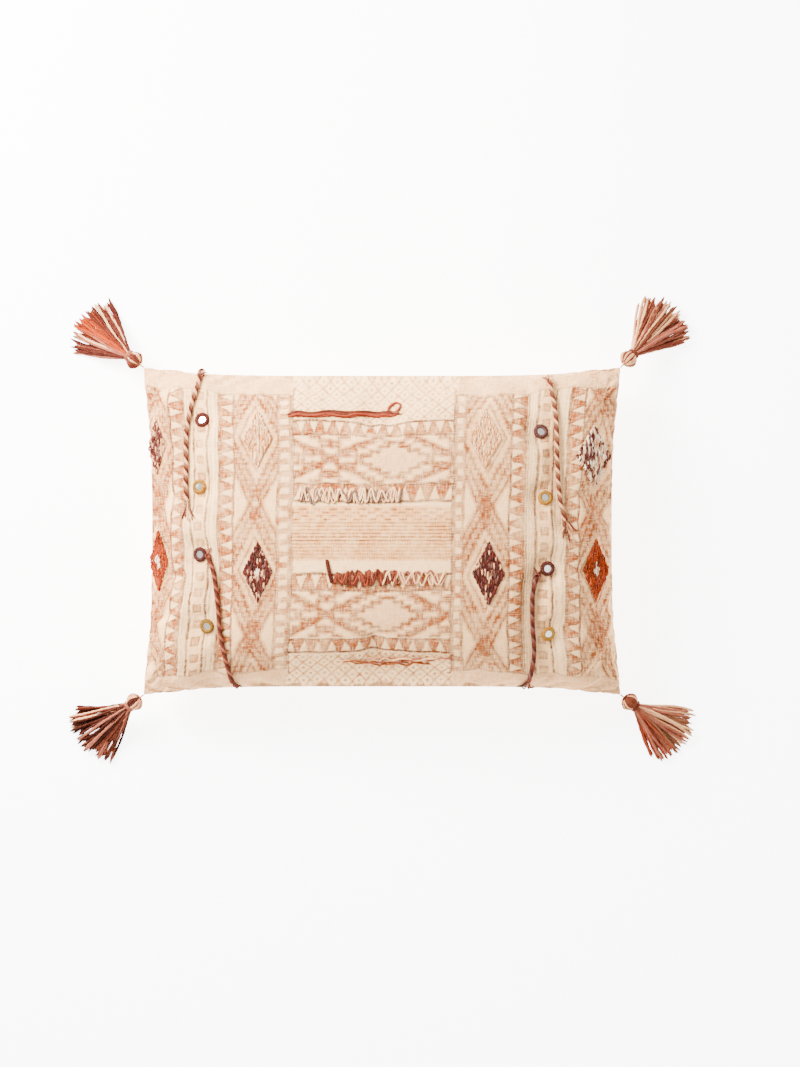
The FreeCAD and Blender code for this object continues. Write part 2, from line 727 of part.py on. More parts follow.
def cord_path(points):
    """Straight runs joined by tangent arcs, and the radius of each arc."""
    edges, radii, start = [], [], points[0]
    for before, corner, after in zip(points, points[1:], points[2:]):
        back, ahead = (before - corner), (after - corner)
        turn = math.pi - back.getAngle(ahead)
        reach = BEND_SHARE * min(back.Length, ahead.Length)
        radii.append(reach / math.tan(turn / 2))
        first = corner + back.normalize() * reach
        last = corner + ahead.normalize() * reach
        inward = (first + last) / 2 - corner
        to_middle = math.hypot(radii[-1], reach) - radii[-1]
        middle = corner + inward.normalize() * to_middle
        edges.append(Part.LineSegment(start, first).toShape())
        edges.append(Part.Arc(first, middle, last).toShape())
        start = last
    edges.append(Part.LineSegment(start, points[-1]).toShape())
    return Part.Wire(edges), radii


def cord(name, route):
    """A plain tube along a route that lies on the face."""
    points = [Vector(x, y, face_height(x, y)) + face_normal(x, y) * out for x, y, out in route]
    path, radii = cord_path(points)
    radius = size["cord_diameter"] / 2
    start = (points[1] - points[0]).normalize()
    profile = Part.Wire([Part.makeCircle(radius, points[0], start)])
    tube = path.makePipeShell([profile], True, False)
    if tube.Volume < 0:
        tube.reverse()
    straight = math.pi * radius**2 * path.Length
    share = tube.Volume / straight
    print(f"{name}: {path.Length:.0f} mm, radii {min(radii):.0f} to {max(radii):.0f}, volume {share:.3f}")
    export(name, shape_feature(name, tube))


# ---------------------------------------------------------------- tassels


def corner_tip(side_x, side_y):
    """The tip of a corner of the cover."""
    return Vector(
        side_x * size["cover_width"] / 2,
        side_y * size["cover_height"] / 2,
        size["seam_level"] - size["corner_droop"],
    )


def tassel_stations():
    """How far from the corner's tip the loop's middle, the head, the neck and the skirt's tips are."""
    loop_middle = size["loop_gap"] + size["loop_radius"] + size["loop_yarn"] / 2
    head_start = loop_middle + size["loop_radius"] + size["loop_yarn"] / 2 + size["head_gap"]
    neck = head_start + size["head_length"]
    tips = neck - size["wrap_yarn"] + size["trim_gap"] + size["skirt_length"]
    return loop_middle, head_start, neck, tips


def tassel_slope():
    """How far a tassel slopes down, in degrees, so that its skirt's tips lie on the floor."""
    drop = corner_tip(1, 1).z - size["skirt_depth"] / 2 - size["floor_gap"]
    return math.degrees(math.asin(drop / tassel_stations()[3]))


def along_tassel(side_x, side_y, heading, distance):
    """The placement of a tassel's piece that far from its corner, +Z along the tassel."""
    level = Rotation(Vector(0, 0, 1), heading)
    tilt = Rotation(Vector(0, 1, 0), 90 + tassel_slope())
    turned = level.multiply(tilt)
    place = corner_tip(side_x, side_y) + turned.multVec(Vector(0, 0, distance))
    return Placement(place, turned)


def tassel(name, side_x, side_y, heading):
    """One tassel: the loop on the corner, the bound head, the wrapped neck and the skirt."""
    loop_middle, head_start, neck, _ = tassel_stations()

    def place(distance):
        return along_tassel(side_x, side_y, heading, distance)

    loop = doc.addObject("Part::Torus", f"tassel_loop_{name}")
    loop.setExpression("Radius1", f"{D}loop_radius")
    loop.setExpression("Radius2", f"{D}loop_yarn / 2")
    flat = place(loop_middle)
    loop.Placement = Placement(flat.Base, flat.Rotation.multiply(Rotation(Vector(0, 1, 0), 90)))
    export(f"tassel_loop_{name}", loop)

    head = doc.addObject("Part::Ellipsoid", f"tassel_head_{name}")
    head.setExpression("Radius1", f"{D}head_length / 2")
    head.setExpression("Radius2", f"{D}head_width / 2")
    head.setExpression("Radius3", f"{D}head_width / 2")
    head.Placement = place(head_start + size["head_length"] / 2)
    neck_cut = doc.addObject("Part::Cylinder", f"neck_cut_{name}")
    neck_cut.setExpression("Radius", f"{D}head_width")
    neck_cut.setExpression("Height", f"{D}head_length")
    neck_cut.Placement = place(neck - size["wrap_yarn"])
    export(f"tassel_head_{name}", boolean("Cut", f"tassel_head_{name}_cut", head, neck_cut))

    wrap = doc.addObject("Part::Torus", f"tassel_wrap_{name}")
    wrap.setExpression("Radius1", f"{D}wrap_radius")
    wrap.setExpression("Radius2", f"{D}wrap_yarn / 2")
    wrap.Placement = place(neck - size["wrap_yarn"] / 2 + size["trim_gap"])
    export(f"tassel_wrap_{name}", wrap)
    skirt(name, place(neck - size["wrap_yarn"] + size["trim_gap"]))


def ellipse_sketch(body, name, offset, width, depth):
    """An ellipse across the tassel's axis, with its axes bound to the sheet."""
    sketch = new_sketch(body, name, "XY_Plane", offset)
    half_w, half_d = worked_out(width) / 2, worked_out(depth) / 2
    ellipse = Part.Ellipse(Vector(0, half_w, 0), Vector(-half_d, 0, 0), Vector(0, 0, 0))
    sketch.addGeometry(ellipse, False)
    sketch.exposeInternalGeometry(0)
    sketch.addConstraint(Sketcher.Constraint("Coincident", 0, 3, -1, 1))
    sketch.addConstraint(Sketcher.Constraint("PointOnObject", 1, 1, -2))
    for line, label, expression in ((1, "width", width), (2, "depth", depth)):
        index = sketch.addConstraint(Sketcher.Constraint("Distance", line, worked_out(expression)))
        sketch.renameConstraint(index, label)
        sketch.setExpression(f"Constraints.{label}", expression)
    doc.recompute()
    return sketch


def skirt(name, placement):
    """The skirt: round at the neck, wide and flat at the tips, through three sections."""
    body = doc.addObject("PartDesign::Body", f"tassel_skirt_{name}")
    width, depth, neck = f"{D}skirt_width", f"{D}skirt_depth", f"{D}skirt_neck"
    half_way = (f"({neck} + {width}) / 2", f"({neck} + {depth}) / 2")
    sections = [
        ellipse_sketch(body, f"skirt_neck_{name}", "0", f"{neck} + {ROUND_EXCESS}", neck),
        ellipse_sketch(body, f"skirt_middle_{name}", f"{D}skirt_length / 2", *half_way),
        ellipse_sketch(body, f"skirt_tips_{name}", f"{D}skirt_length", width, depth),
    ]
    loft = body.newObject("PartDesign::AdditiveLoft", f"skirt_loft_{name}")
    loft.Profile = sections[0]
    loft.Sections = sections[1:]
    doc.recompute()
    body.Placement = placement
    export(f"tassel_skirt_{name}", body)


# ---------------------------------------------------------------- build and write

front_panel()
back_panel()
insert()
care_label()
for row_name, row_side in (("front", 1), ("back", -1)):
    zip_row(f"zip_row_{row_name}", row_side)
    zip_tape(f"zip_tape_{row_name}", row_side)
zip_stops()
zip_slider()
zip_pull()
for mirror_name, *mirror_shares in MIRRORS:
    sewn = sewn_placement(*on_cover(*mirror_shares))
    mirror(f"mirror_{mirror_name}", sewn)
    mirror_ring(f"mirror_ring_{mirror_name}", sewn)
for lozenge_name, share_x, share_y, *lozenge_sizes in LOZENGES:
    lozenge(f"lozenge_{lozenge_name}", *on_cover(share_x, share_y), *lozenge_sizes)
for fringe_name, share_x, share_y, *fringe_sizes in FRINGES:
    fringe(f"fringe_{fringe_name}", *on_cover(share_x, share_y), *fringe_sizes)
for cord_name, cord_route in CORDS.items():
    cord(f"cord_{cord_name}", cord_route)
for tassel_name, tassel_x, tassel_y, tassel_heading in TASSELS:
    tassel(tassel_name, tassel_x, tassel_y, tassel_heading)
doc.recompute()

failed = [o.Label for o in doc.Objects if {"Invalid", "Error"} & set(o.State)]
if failed:
    raise RuntimeError(f"these objects failed: {failed}")
for node, feature in exported.items():
    if feature.Shape.isNull() or not feature.Shape.isValid() or not feature.Shape.Solids:
        raise RuntimeError(f"{node} isn't a valid solid")

os.makedirs("parts", exist_ok=True)
for node, feature in exported.items():
    feature.Shape.exportStep(os.path.join("parts", f"{node}.step"))
print(f"{len(exported)} nodes written")
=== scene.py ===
"""Looks of the throw pillow: a printed and woven cover over a stuffed insert, stitched mirrors, shaggy
embroidery, laid yarn fringes, loose twisted cords, a tassel on each corner and a concealed zip."""

import json
import math
import random

import bpy
import numpy as np
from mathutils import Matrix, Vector
from mathutils.bvhtree import BVHTree


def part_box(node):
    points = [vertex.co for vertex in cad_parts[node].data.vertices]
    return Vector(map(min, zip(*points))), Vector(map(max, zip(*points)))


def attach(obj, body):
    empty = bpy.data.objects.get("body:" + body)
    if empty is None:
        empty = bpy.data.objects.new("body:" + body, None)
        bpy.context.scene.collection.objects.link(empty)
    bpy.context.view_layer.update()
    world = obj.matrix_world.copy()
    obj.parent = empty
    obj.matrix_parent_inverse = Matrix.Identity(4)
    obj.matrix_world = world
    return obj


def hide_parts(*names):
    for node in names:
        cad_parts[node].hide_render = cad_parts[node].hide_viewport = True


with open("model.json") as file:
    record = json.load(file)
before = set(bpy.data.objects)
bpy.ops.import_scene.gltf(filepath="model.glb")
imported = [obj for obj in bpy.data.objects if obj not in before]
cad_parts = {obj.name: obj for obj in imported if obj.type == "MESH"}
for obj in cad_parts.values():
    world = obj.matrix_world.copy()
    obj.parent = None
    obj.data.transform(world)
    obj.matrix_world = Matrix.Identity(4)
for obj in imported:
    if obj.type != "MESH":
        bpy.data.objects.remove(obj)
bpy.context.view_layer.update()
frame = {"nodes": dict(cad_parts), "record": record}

MM = 0.001

# ---------------------------------------------------------------- the stuffed shape, as the CAD has it

_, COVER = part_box("front_panel")
_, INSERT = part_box("insert_casing_front")
SIDE_PULL_IN = 9.5 * MM
EDGE_PULL_IN = 9.0 * MM
SEAM_LEVEL = 54.0 * MM
CORNER_DROOP = 14.0 * MM
CROWN_RISE = 70.0 * MM
BELLY_DROP = 62.0 * MM
SIDE_POWER, EDGE_POWER = 3, 5
FULLNESS = 1.2
DROOP_FROM = 0.68
ZIP_HALF = 188.0 * MM  # half of the opening that the zip closes
ZIP_Y = -153.0 * MM  # middle of the zip's rows
LIP = 3.4 * MM  # half of the opening's height


def mid_width(v, inset=0.0):
    return COVER.x - inset - SIDE_PULL_IN * (1 - abs(v) ** SIDE_POWER)


def mid_height(u, inset=0.0):
    return COVER.y - inset - EDGE_PULL_IN * (1 - abs(u) ** EDGE_POWER)


def droop(share_x, share_y):
    past_x = np.clip((np.abs(share_x) - DROOP_FROM) / (1 - DROOP_FROM), 0, None)
    past_y = np.clip((np.abs(share_y) - DROOP_FROM) / (1 - DROOP_FROM), 0, None)
    return CORNER_DROOP * past_x**2 * past_y**2


def stuffed_grid(columns, rows, inset, rise, floor=None):
    """Points (columns, rows, 3) of a panel, evenly spaced in angle from seam to seam, and their u and v."""
    theta = np.linspace(-math.pi / 2, math.pi / 2, columns)[:, None]
    phi = np.linspace(-math.pi / 2, math.pi / 2, rows)[None, :]
    u, v = np.broadcast_arrays(np.sin(theta), np.sin(phi))
    x = u * mid_width(v, inset)
    y = v * mid_height(u, inset)
    share = np.clip(np.cos(theta) * np.cos(phi), 0, None)
    swell = share * (FULLNESS - (FULLNESS - 1) * share**2)
    z = SEAM_LEVEL - droop(x / mid_width(v), y / mid_height(u)) + rise * swell
    if floor is not None:
        softness = 1.5 * MM
        z = floor + 0.5 * (z - floor + np.sqrt((z - floor) ** 2 + softness**2))
        z = z - 0.5 * softness * np.exp(-((z - floor) / softness) ** 2)
        z = np.maximum(z, floor)
    return np.stack([x, y, z], axis=-1), u, v


# ---------------------------------------------------------------- meshes


def new_object(name, mesh, material):
    obj = bpy.data.objects.new(name, mesh)
    bpy.context.collection.objects.link(obj)
    mesh.materials.append(material)
    return obj


def add_attribute(mesh, name, kind, values):
    attribute = mesh.attributes.new(name, kind, "POINT")
    key = "color" if kind == "FLOAT_COLOR" else "vector"
    attribute.data.foreach_set(key, np.ascontiguousarray(values, dtype=np.float32).ravel())


def with_alpha(rgb):
    return np.concatenate([rgb, np.ones(rgb.shape[:-1] + (1,))], axis=-1)


def linear(*rgb):
    """A colour as seen on screen, 0 to 255, as the shader's own linear values."""
    c = np.array(rgb, dtype=float) / 255
    return np.where(c <= 0.04045, c / 12.92, ((c + 0.055) / 1.055) ** 2.4)


def grid_faces(index, flip=False):
    """Quads over a grid of vertex numbers."""
    a, b, c, d = index[:-1, :-1], index[1:, :-1], index[1:, 1:], index[:-1, 1:]
    return np.stack([a, d, c, b] if flip else [a, b, c, d], axis=-1).reshape(-1, 4)


def joined(upper, lower):
    """Two grids of points welded at their rim: points, faces and each grid's vertex numbers."""
    shape = upper.shape[:2]
    first = np.arange(upper[..., 0].size).reshape(shape)
    second = first + first.size
    for edge in (np.s_[0, :], np.s_[-1, :], np.s_[:, 0], np.s_[:, -1]):
        second[edge] = first[edge]
    used, compact = np.unique(np.concatenate([first.ravel(), second.ravel()]), return_inverse=True)
    points = np.concatenate([upper.reshape(-1, 3), lower.reshape(-1, 3)])[used]
    first, second = compact[: first.size].reshape(shape), compact[first.size :].reshape(shape)
    return points, np.concatenate([grid_faces(first), grid_faces(second, True)]), first, second


def mesh_from(name, points, faces):
    mesh = bpy.data.meshes.new(name)
    mesh.from_pydata(points.reshape(-1, 3).tolist(), [], faces)
    mesh.polygons.foreach_set("use_smooth", np.ones(len(mesh.polygons), dtype=bool))
    mesh.update()
    return mesh


def smooth_path(points, count):
    """count points, evenly spaced, on a smooth curve through a few."""
    points = np.asarray(points, dtype=float)
    at = np.linspace(0, len(points) - 1, count)
    i = np.clip(np.floor(at).astype(int), 0, len(points) - 2)
    t = (at - i).reshape((-1,) + (1,) * (points.ndim - 1))
    padded = np.concatenate([2 * points[:1] - points[1:2], points, 2 * points[-1:] - points[-2:-1]])
    p0, p1, p2, p3 = padded[i], padded[i + 1], padded[i + 2], padded[i + 3]
    return p1 + 0.5 * t * (p2 - p0 + t * (2 * p0 - 5 * p1 + 4 * p2 - p3 + t * (3 * (p1 - p2) + p3 - p0)))


def refined(grid, columns, rows):
    """A grid of points, resampled to that many columns and rows on smooth cubics."""
    return smooth_path(smooth_path(grid, columns).swapaxes(0, 1), rows).swapaxes(0, 1)


# ---------------------------------------------------------------- materials

SLUB_REACH = 0.14  # a slub's width over its length

class Shader:
    """One procedural material. Each method adds a node and returns what it gives."""

    def __init__(self, name, roughness=0.85, **surface):
        self.material = bpy.data.materials.new(name)
        self.material.use_nodes = True
        self.tree = self.material.node_tree
        self.surface = self.tree.nodes["Principled BSDF"]
        self.surface.inputs["Roughness"].default_value = roughness
        for key, value in surface.items():
            self.surface.inputs[key.replace("_", " ")].default_value = value

    def node(self, kind, inputs=(), **settings):
        made = self.tree.nodes.new(f"ShaderNode{kind}")
        for key, value in settings.items():
            setattr(made, key, value)
        for key, value in dict(inputs).items():
            if isinstance(value, bpy.types.NodeSocket):
                self.tree.links.new(value, made.inputs[key])
            else:
                made.inputs[key].default_value = value
        return made

    def attribute(self, name, output="Color"):
        return self.node("Attribute", attribute_name=name).outputs[output]

    def maths(self, operation, a, b=0.0):
        return self.node("Math", {0: a, 1: b}, operation=operation).outputs[0]

    def times(self, a, b):
        return self.maths("MULTIPLY", a, b)

    def plus(self, a, b):
        return self.maths("ADD", a, b)

    def wave(self, value, turn):
        return self.maths("SINE", self.times(value, turn))

    def weave(self, warp, weft):
        """The mean of two noises, one drawn out along each way of the cloth."""
        return self.times(self.plus(warp, weft), 0.5)

    def tinted(self, value, low, high, share, base, tint, blend="MIX"):
        """base, taken towards tint by up to share as value goes from low to high."""
        return self.mixed(self.fitted(value, low, high, 0.0, share), base, tint, blend)

    def noise(self, scale, detail=2.0, place=None, stretch=None):
        vector = place if place is not None else self.node("TexCoord").outputs["Object"]
        if stretch is not None:
            vector = self.node("Mapping", {"Vector": vector, "Scale": stretch}).outputs[0]
        inputs = {"Vector": vector, "Scale": scale, "Detail": detail}
        return self.node("TexNoise", inputs).outputs["Fac"]

    def fitted(self, value, low, high, to_low=0.0, to_high=1.0):
        inputs = {0: value, 1: low, 2: high, 3: to_low, 4: to_high}
        return self.node("MapRange", inputs).outputs[0]

    def mixed(self, share, a, b, blend="MIX"):
        made = self.node("Mix", data_type="RGBA", blend_type=blend)
        for socket, value in (("Factor_Float", share), ("A_Color", a), ("B_Color", b)):
            target = next(s for s in made.inputs if s.identifier == socket)
            if isinstance(value, bpy.types.NodeSocket):
                self.tree.links.new(value, target)
            else:
                target.default_value = value
        return next(s for s in made.outputs if s.identifier == "Result_Color")

    def finish(self, colour, height=None, strength=0.5, depth=0.4 * MM, roughness=None):
        self.tree.links.new(colour, self.surface.inputs["Base Color"])
        if roughness is not None:
            self.tree.links.new(roughness, self.surface.inputs["Roughness"])
        if height is not None:
            bump = self.node("Bump", {"Height": height, "Strength": strength, "Distance": depth})
            self.tree.links.new(bump.outputs[0], self.surface.inputs["Normal"])
        return self.material


def seen(*rgb):
    """A colour as seen on screen, for a colour socket."""
    return (*[float(c) for c in linear(*rgb)], 1.0)


def woven_material(name, pitch, colour=None, slub=0.35, fade=0.0):
    """Cloth in a plain weave, with slubs and worn print, placed by its cloth_place attribute."""
    shader = Shader(name, roughness=0.95, Specular_IOR_Level=0.03)
    place = shader.attribute("cloth_place", "Vector")
    base = shader.attribute("design") if colour is None else colour
    warp = shader.noise(1.0 / pitch, 1.0, place, (1.0, SLUB_REACH, 1.0))
    weft = shader.noise(1.0 / pitch, 1.0, place, (SLUB_REACH, 1.0, 1.0))
    threads = shader.weave(warp, weft)
    tone = shader.tinted(threads, 0.5, 0.64, slub, base, seen(248, 214, 164))
    tone = shader.tinted(threads, 0.5, 0.37, slub, tone, seen(206, 160, 120), "MULTIPLY")
    worn, cloudy = shader.noise(160.0, 3.0, place), shader.noise(22.0, 2.0, place)
    tone = shader.tinted(worn, 0.45, 0.75, fade, tone, seen(240, 198, 146))
    tone = shader.tinted(cloudy, 0.35, 0.7, 0.16, tone, seen(240, 206, 176), "MULTIPLY")
    split = shader.node("SeparateXYZ", {0: place})
    turn = math.pi / pitch
    over_under = shader.times(shader.wave(split.outputs[0], turn), shader.wave(split.outputs[1], turn))
    height = shader.plus(shader.times(over_under, 0.35), shader.times(threads, 1.6))
    return shader.finish(tone, height, 0.8, 0.5 * MM)


def yarn_material(name, gloss=0.03, twist=0.9):
    """Twisted yarn, with painted shade in the grooves between its plies. dye is its colour, yarn_place its
    length along and angle round, in turns.
    """
    shader = Shader(name, roughness=0.8, Specular_IOR_Level=gloss)
    split = shader.node("SeparateXYZ", {0: shader.attribute("yarn_place", "Vector")})
    ply = shader.wave(shader.plus(split.outputs[0], split.outputs[1]), 4 * math.pi)
    fibre = shader.noise(1400.0, 2.0)
    # painted shade: the dye is darkened in the grooves between the plies, where shade falls
    groove_painted_shade = shader.fitted(ply, -1.0, -0.1, 0.55 * twist, 0.0)
    tone = shader.mixed(groove_painted_shade, shader.attribute("dye"), seen(120, 80, 66), "MULTIPLY")
    tone = shader.tinted(fibre, 0.5, 0.72, 0.2, tone, seen(206, 150, 112))
    tone = shader.tinted(shader.noise(130.0, 2.0), 0.4, 0.7, 0.35, tone, seen(190, 136, 112), "MULTIPLY")
    height = shader.plus(shader.times(ply, 0.5 * twist), fibre)
    return shader.finish(tone, height, 0.6, 0.3 * MM)


def metal_material(name, bright, dark):
    shader = Shader(name, roughness=0.38, Metallic=1.0)
    worn = shader.noise(380.0, 4.0)
    colour = shader.tinted(worn, 0.4, 0.65, 1.0, dark, bright)
    rough = shader.fitted(worn, 0.3, 0.7, 0.5, 0.28)
    return shader.finish(colour, shader.noise(2600.0, 1.0, stretch=(1.0, 8.0, 1.0)), 0.15, 0.05 * MM, rough)


def mirror_material(name, tint):
    shader = Shader(name, roughness=0.12, Metallic=1.0, Coat_Weight=0.4, Coat_Roughness=0.05)
    cloudy = shader.noise(240.0, 3.0)
    colour = shader.tinted(cloudy, 0.4, 0.75, 0.5, tint, seen(196, 190, 182))
    rough = shader.fitted(cloudy, 0.35, 0.75, 0.06, 0.3)
    return shader.finish(colour, cloudy, 0.12, 0.2 * MM, rough)


def plain_cloth_material(name, colour, scale=900.0):
    """Fine cloth placed by the object's own space, for what the CAD makes."""
    shader = Shader(name, roughness=0.9, Sheen_Weight=0.2)
    warp = shader.noise(scale, 1.0, stretch=(1.0, 0.1, 0.1))
    weft = shader.noise(scale, 1.0, stretch=(0.1, 1.0, 1.0))
    threads = shader.weave(warp, weft)
    tone = shader.tinted(threads, 0.65, 0.35, 0.35, colour, seen(170, 150, 130), "MULTIPLY")
    return shader.finish(tone, threads, 0.4, 0.2 * MM)


def fibre_material(name):
    shader = Shader(name, roughness=0.95, Sheen_Weight=0.5)
    tuft = shader.noise(90.0, 6.0)
    tone = shader.tinted(tuft, 0.35, 0.7, 1.0, seen(226, 224, 220), seen(250, 250, 248))
    return shader.finish(tone, tuft, 0.8, 3 * MM)


SLOTS = {subpart["node"]: subpart["material_slot"] for subpart in frame["record"]["subparts"]}


def placed(piece, body, *nodes, slot=None):
    """A piece on its body, in place of those CAD nodes. The slot is not used."""
    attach(piece, body)
    if nodes:
        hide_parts(*nodes)
    return piece


# ---------------------------------------------------------------- yarns

YARN_SIDES = 7


def tube_rings(path, radii, turns_per_metre, oval, phase):
    """Oval rings of points that turn round a path, and their place along and round it."""
    path = np.asarray(path, dtype=float)
    count = len(path)
    tangent = np.gradient(path, axis=0)
    tangent /= np.linalg.norm(tangent, axis=1)[:, None] + 1e-12
    side = np.cross(tangent[0], (0.0, 0.0, 1.0))
    if np.linalg.norm(side) < 1e-3:
        side = np.cross(tangent[0], (0.0, 1.0, 0.0))
    sides = np.empty((count, 3))
    for i in range(count):
        side = side - tangent[i] * side.dot(tangent[i])
        side /= np.linalg.norm(side) + 1e-12
        sides[i] = side
    other = np.cross(tangent, sides)
    length = np.concatenate([[0], np.cumsum(np.linalg.norm(np.diff(path, axis=0), axis=1))])
    angle = np.linspace(0, 2 * math.pi, YARN_SIDES, endpoint=False)[None, :]
    lay = 2 * math.pi * turns_per_metre * length[:, None] + phase
    radius = np.asarray(radii).reshape(-1, 1) * (1 + oval * np.cos(2 * (angle - lay)))
    ring = path[:, None, :] + radius[..., None] * (
        np.cos(angle)[..., None] * sides[:, None, :] + np.sin(angle)[..., None] * other[:, None, :]
    )
    turn = 2 * math.pi
    place = np.stack(np.broadcast_arrays(-lay / turn, angle / turn, 0.0 * radius), axis=-1)
    return ring, place


def tapered(count, radius, start=0.35, end=0.35):
    """Radii that narrow at the first and last ring, so that a yarn's ends look cut and round."""
    radii = np.full(count, radius)
    radii[0] *= start
    radii[-1] *= end
    return radii


def yarns(name, strands, material, turns_per_metre=220, oval=0.12):
    """One mesh of many yarns. Each strand: path, radius or radii, colour."""
    points, places, dyes, faces, start = [], [], [], [], 0
    for index, (path, radius, colour) in enumerate(strands):
        radii = tapered(len(path), radius) if np.isscalar(radius) else radius
        ring, place = tube_rings(path, radii, turns_per_metre, oval, index * 1.7)
        count = len(path)
        grid = start + np.arange(count * YARN_SIDES).reshape(count, YARN_SIDES)
        after = np.roll(grid, -1, axis=1)
        quads = np.stack([grid[:-1], after[:-1], after[1:], grid[1:]], axis=-1).reshape(-1, 4)
        faces.extend(quads.tolist())
        faces.append(grid[0][::-1].tolist())
        faces.append(grid[-1].tolist())
        points.append(ring.reshape(-1, 3))
        places.append(place.reshape(-1, 3))
        dye = np.asarray(colour, dtype=float)
        dyes.append(np.broadcast_to(dye, (count * YARN_SIDES, 3)))
        start += count * YARN_SIDES
    mesh = mesh_from(name, np.concatenate(points), faces)
    add_attribute(mesh, "yarn_place", "FLOAT_VECTOR", np.concatenate(places))
    add_attribute(mesh, "dye", "FLOAT_COLOR", with_alpha(np.concatenate(dyes)))
    return new_object(name, mesh, material)


# ---------------------------------------------------------------- colours

CREAM = linear(242, 196, 138)
PEACH = linear(218, 148, 84)
BEIGE = linear(222, 170, 118)
SALMON = linear(150, 74, 26)
TERRACOTTA = linear(82, 30, 9)
BRICK = linear(96, 42, 27)
IVORY = linear(246, 222, 186)
CORAL = linear(140, 56, 34)
RUST = linear(94, 38, 26)
ORANGE = linear(156, 54, 12)
DEEP_ORANGE = linear(116, 34, 8)
PLUM = linear(80, 28, 26)
DARK_PLUM = linear(50, 21, 25)
DUSTY_PLUM = linear(108, 68, 64)
BURGUNDY = linear(70, 21, 17)
MAROON = linear(54, 14, 11)
PINK = linear(150, 84, 64)
TAN = linear(124, 80, 54)
GREY_PLUM = linear(124, 98, 84)
GOLD = linear(162, 110, 16)
OLIVE_GOLD = linear(116, 86, 20)
YARN_CREAM = linear(226, 168, 120)

# ---------------------------------------------------------------- the printed design

# Places on the cover are in millimetres from its middle, as seen from above.
LINE_SOFTNESS = 0.8
PLAIN_TOP, PLAIN_BOTTOM = 142.5, -145.0
LEAN = -0.02  # how far the whole print leans, across for each step up
CENTRE_LEFT, CENTRE_RIGHT = -89.5, 70.0
# Outlines round a lozenge: size against the innermost, half the line's width, strength, and
# whether the line is straight or stepped.
TALL_OUTLINES = (
    (1.0, 1.0, 0.8, True),
    (1.42, 1.35, 1.0, False),
    (1.86, 1.3, 1.0, False),
    (2.32, 1.25, 0.95, True),
)
# The same in the wide panels, all at full strength.
WIDE_OUTLINES = ((1.0, 1.5, False), (1.72, 1.3, False), (2.05, 1.3, True), (2.75, 1.2, False))


def stroke(distance, half):
    """1 on a line, 0 beside it, with a soft edge."""
    return np.clip(0.5 + (half - distance) / LINE_SOFTNESS, 0, 1)


def band(values, low, high):
    """1 between low and high, with soft edges."""
    return stroke(low - values, 0) * stroke(values - high, 0)


def patchy(shape, cells, seed_number):
    """Smooth random values from 0 to 1, with that many cells each way."""
    coarse = np.random.default_rng(seed_number).random((cells[0], cells[1], 1))
    return np.clip(refined(coarse, *shape)[..., 0], 0, 1)


class Print:
    """The print's colour and relief over a grid of places."""

    def __init__(self, x, y):
        self.x, self.y = x, y
        self.colour = np.broadcast_to(CREAM, x.shape + (3,)).copy()
        self.relief = np.full(x.shape, 0.5)
        self.ink = 0.7 + 0.5 * patchy(x.shape, (60, 42), 3) - 0.3 * patchy(x.shape, (160, 110), 4)

    def paint(self, mask, colour, raised=0.0):
        mask = np.clip(mask * self.ink, 0, 1)
        self.colour += (colour - self.colour) * mask[..., None]
        self.relief += (raised - self.relief) * mask

    def blank(self, mask, colour):
        mask = np.clip(mask, 0, 1)
        self.colour += (colour - self.colour) * mask[..., None]
        self.relief += (0.5 - self.relief) * mask


def staircase(across, up, half_width, half_height, step):
    """Distance from the outline of a stepped lozenge, at places that far across and up from its middle."""
    across, up = np.abs(across), np.abs(up)
    shrink = half_width * step / half_height
    row = np.floor(up / step)
    reach = half_width - row * shrink
    nearest = np.where(reach > 0, np.abs(across - reach), 1e3)
    for edge in (row, row + 1):
        inner = np.maximum(half_width - edge * shrink, 0)
        outer = inner + shrink
        beside = np.maximum(np.maximum(inner - across, across - outer), 0)
        real = (edge > 0) & (edge * step < half_height + step)
        nearest = np.minimum(nearest, np.where(real, np.hypot(beside, up - edge * step), 1e3))
    return nearest


def plain_lozenge(across, up, half_width, half_height):
    """Distance from the outline of a lozenge with straight sides."""
    slant = math.hypot(half_width, half_height)
    return np.abs(np.abs(across) * half_height + np.abs(up) * half_width - half_width * half_height) / slant


def diamond_column(cloth, left, right, centres, half_width, half_height):
    """Nested stepped lozenges, one round each centre, whose outlines cross between them."""
    x, y = cloth.x, cloth.y
    area = band(x, left, right) * band(y, PLAIN_BOTTOM, PLAIN_TOP)
    middle = (left + right) / 2
    cloth.paint(area * 0.3, PEACH, 0.4)
    for centre in centres:
        for grow, half, strength, smooth in TALL_OUTLINES:
            sizes = (half_width * grow, half_height * grow)
            if smooth:
                line = plain_lozenge(x - middle, y - centre, *sizes)
            else:
                line = staircase(x - middle, y - centre, *sizes, 5.2)
            cloth.paint(area * stroke(line, half) * strength, TERRACOTTA)
            halo = stroke(line, half + 2.1) * 0.55 * strength
            cloth.paint(area * halo, SALMON, 0.3)


def triangle_strip(cloth, along, across, area, pitch, narrow_end):
    """Cream triangles on a salmon strip. across runs from 0 to 1 over the strip."""
    cloth.paint(area * 1.1, SALMON, 0.1)
    reach = 1 - across if narrow_end else across
    wave = np.abs((along / pitch) % 1.0 - 0.5) * 2
    side = (reach * 0.86 - wave) * pitch * 0.5
    base = (0.93 - reach) * 15
    cloth.blank(area * np.clip(np.minimum(side, base) * 1.4, 0, 1) * 0.9, CREAM)
    cloth.paint(area * stroke(np.abs(np.minimum(side, base)), 0.8) * 0.7, TERRACOTTA)


def triangle_column(cloth, left, right, pitch, phase, narrow_right=True):
    x, y = cloth.x, cloth.y
    inside = band(y, PLAIN_BOTTOM, PLAIN_TOP)
    area = band(x, left, right) * inside
    triangle_strip(cloth, y + phase, (x - left) / (right - left), area, pitch, narrow_right)
    for edge in (left, right):
        cloth.paint(stroke(np.abs(x - edge), 0.65) * inside * 0.85, TERRACOTTA)


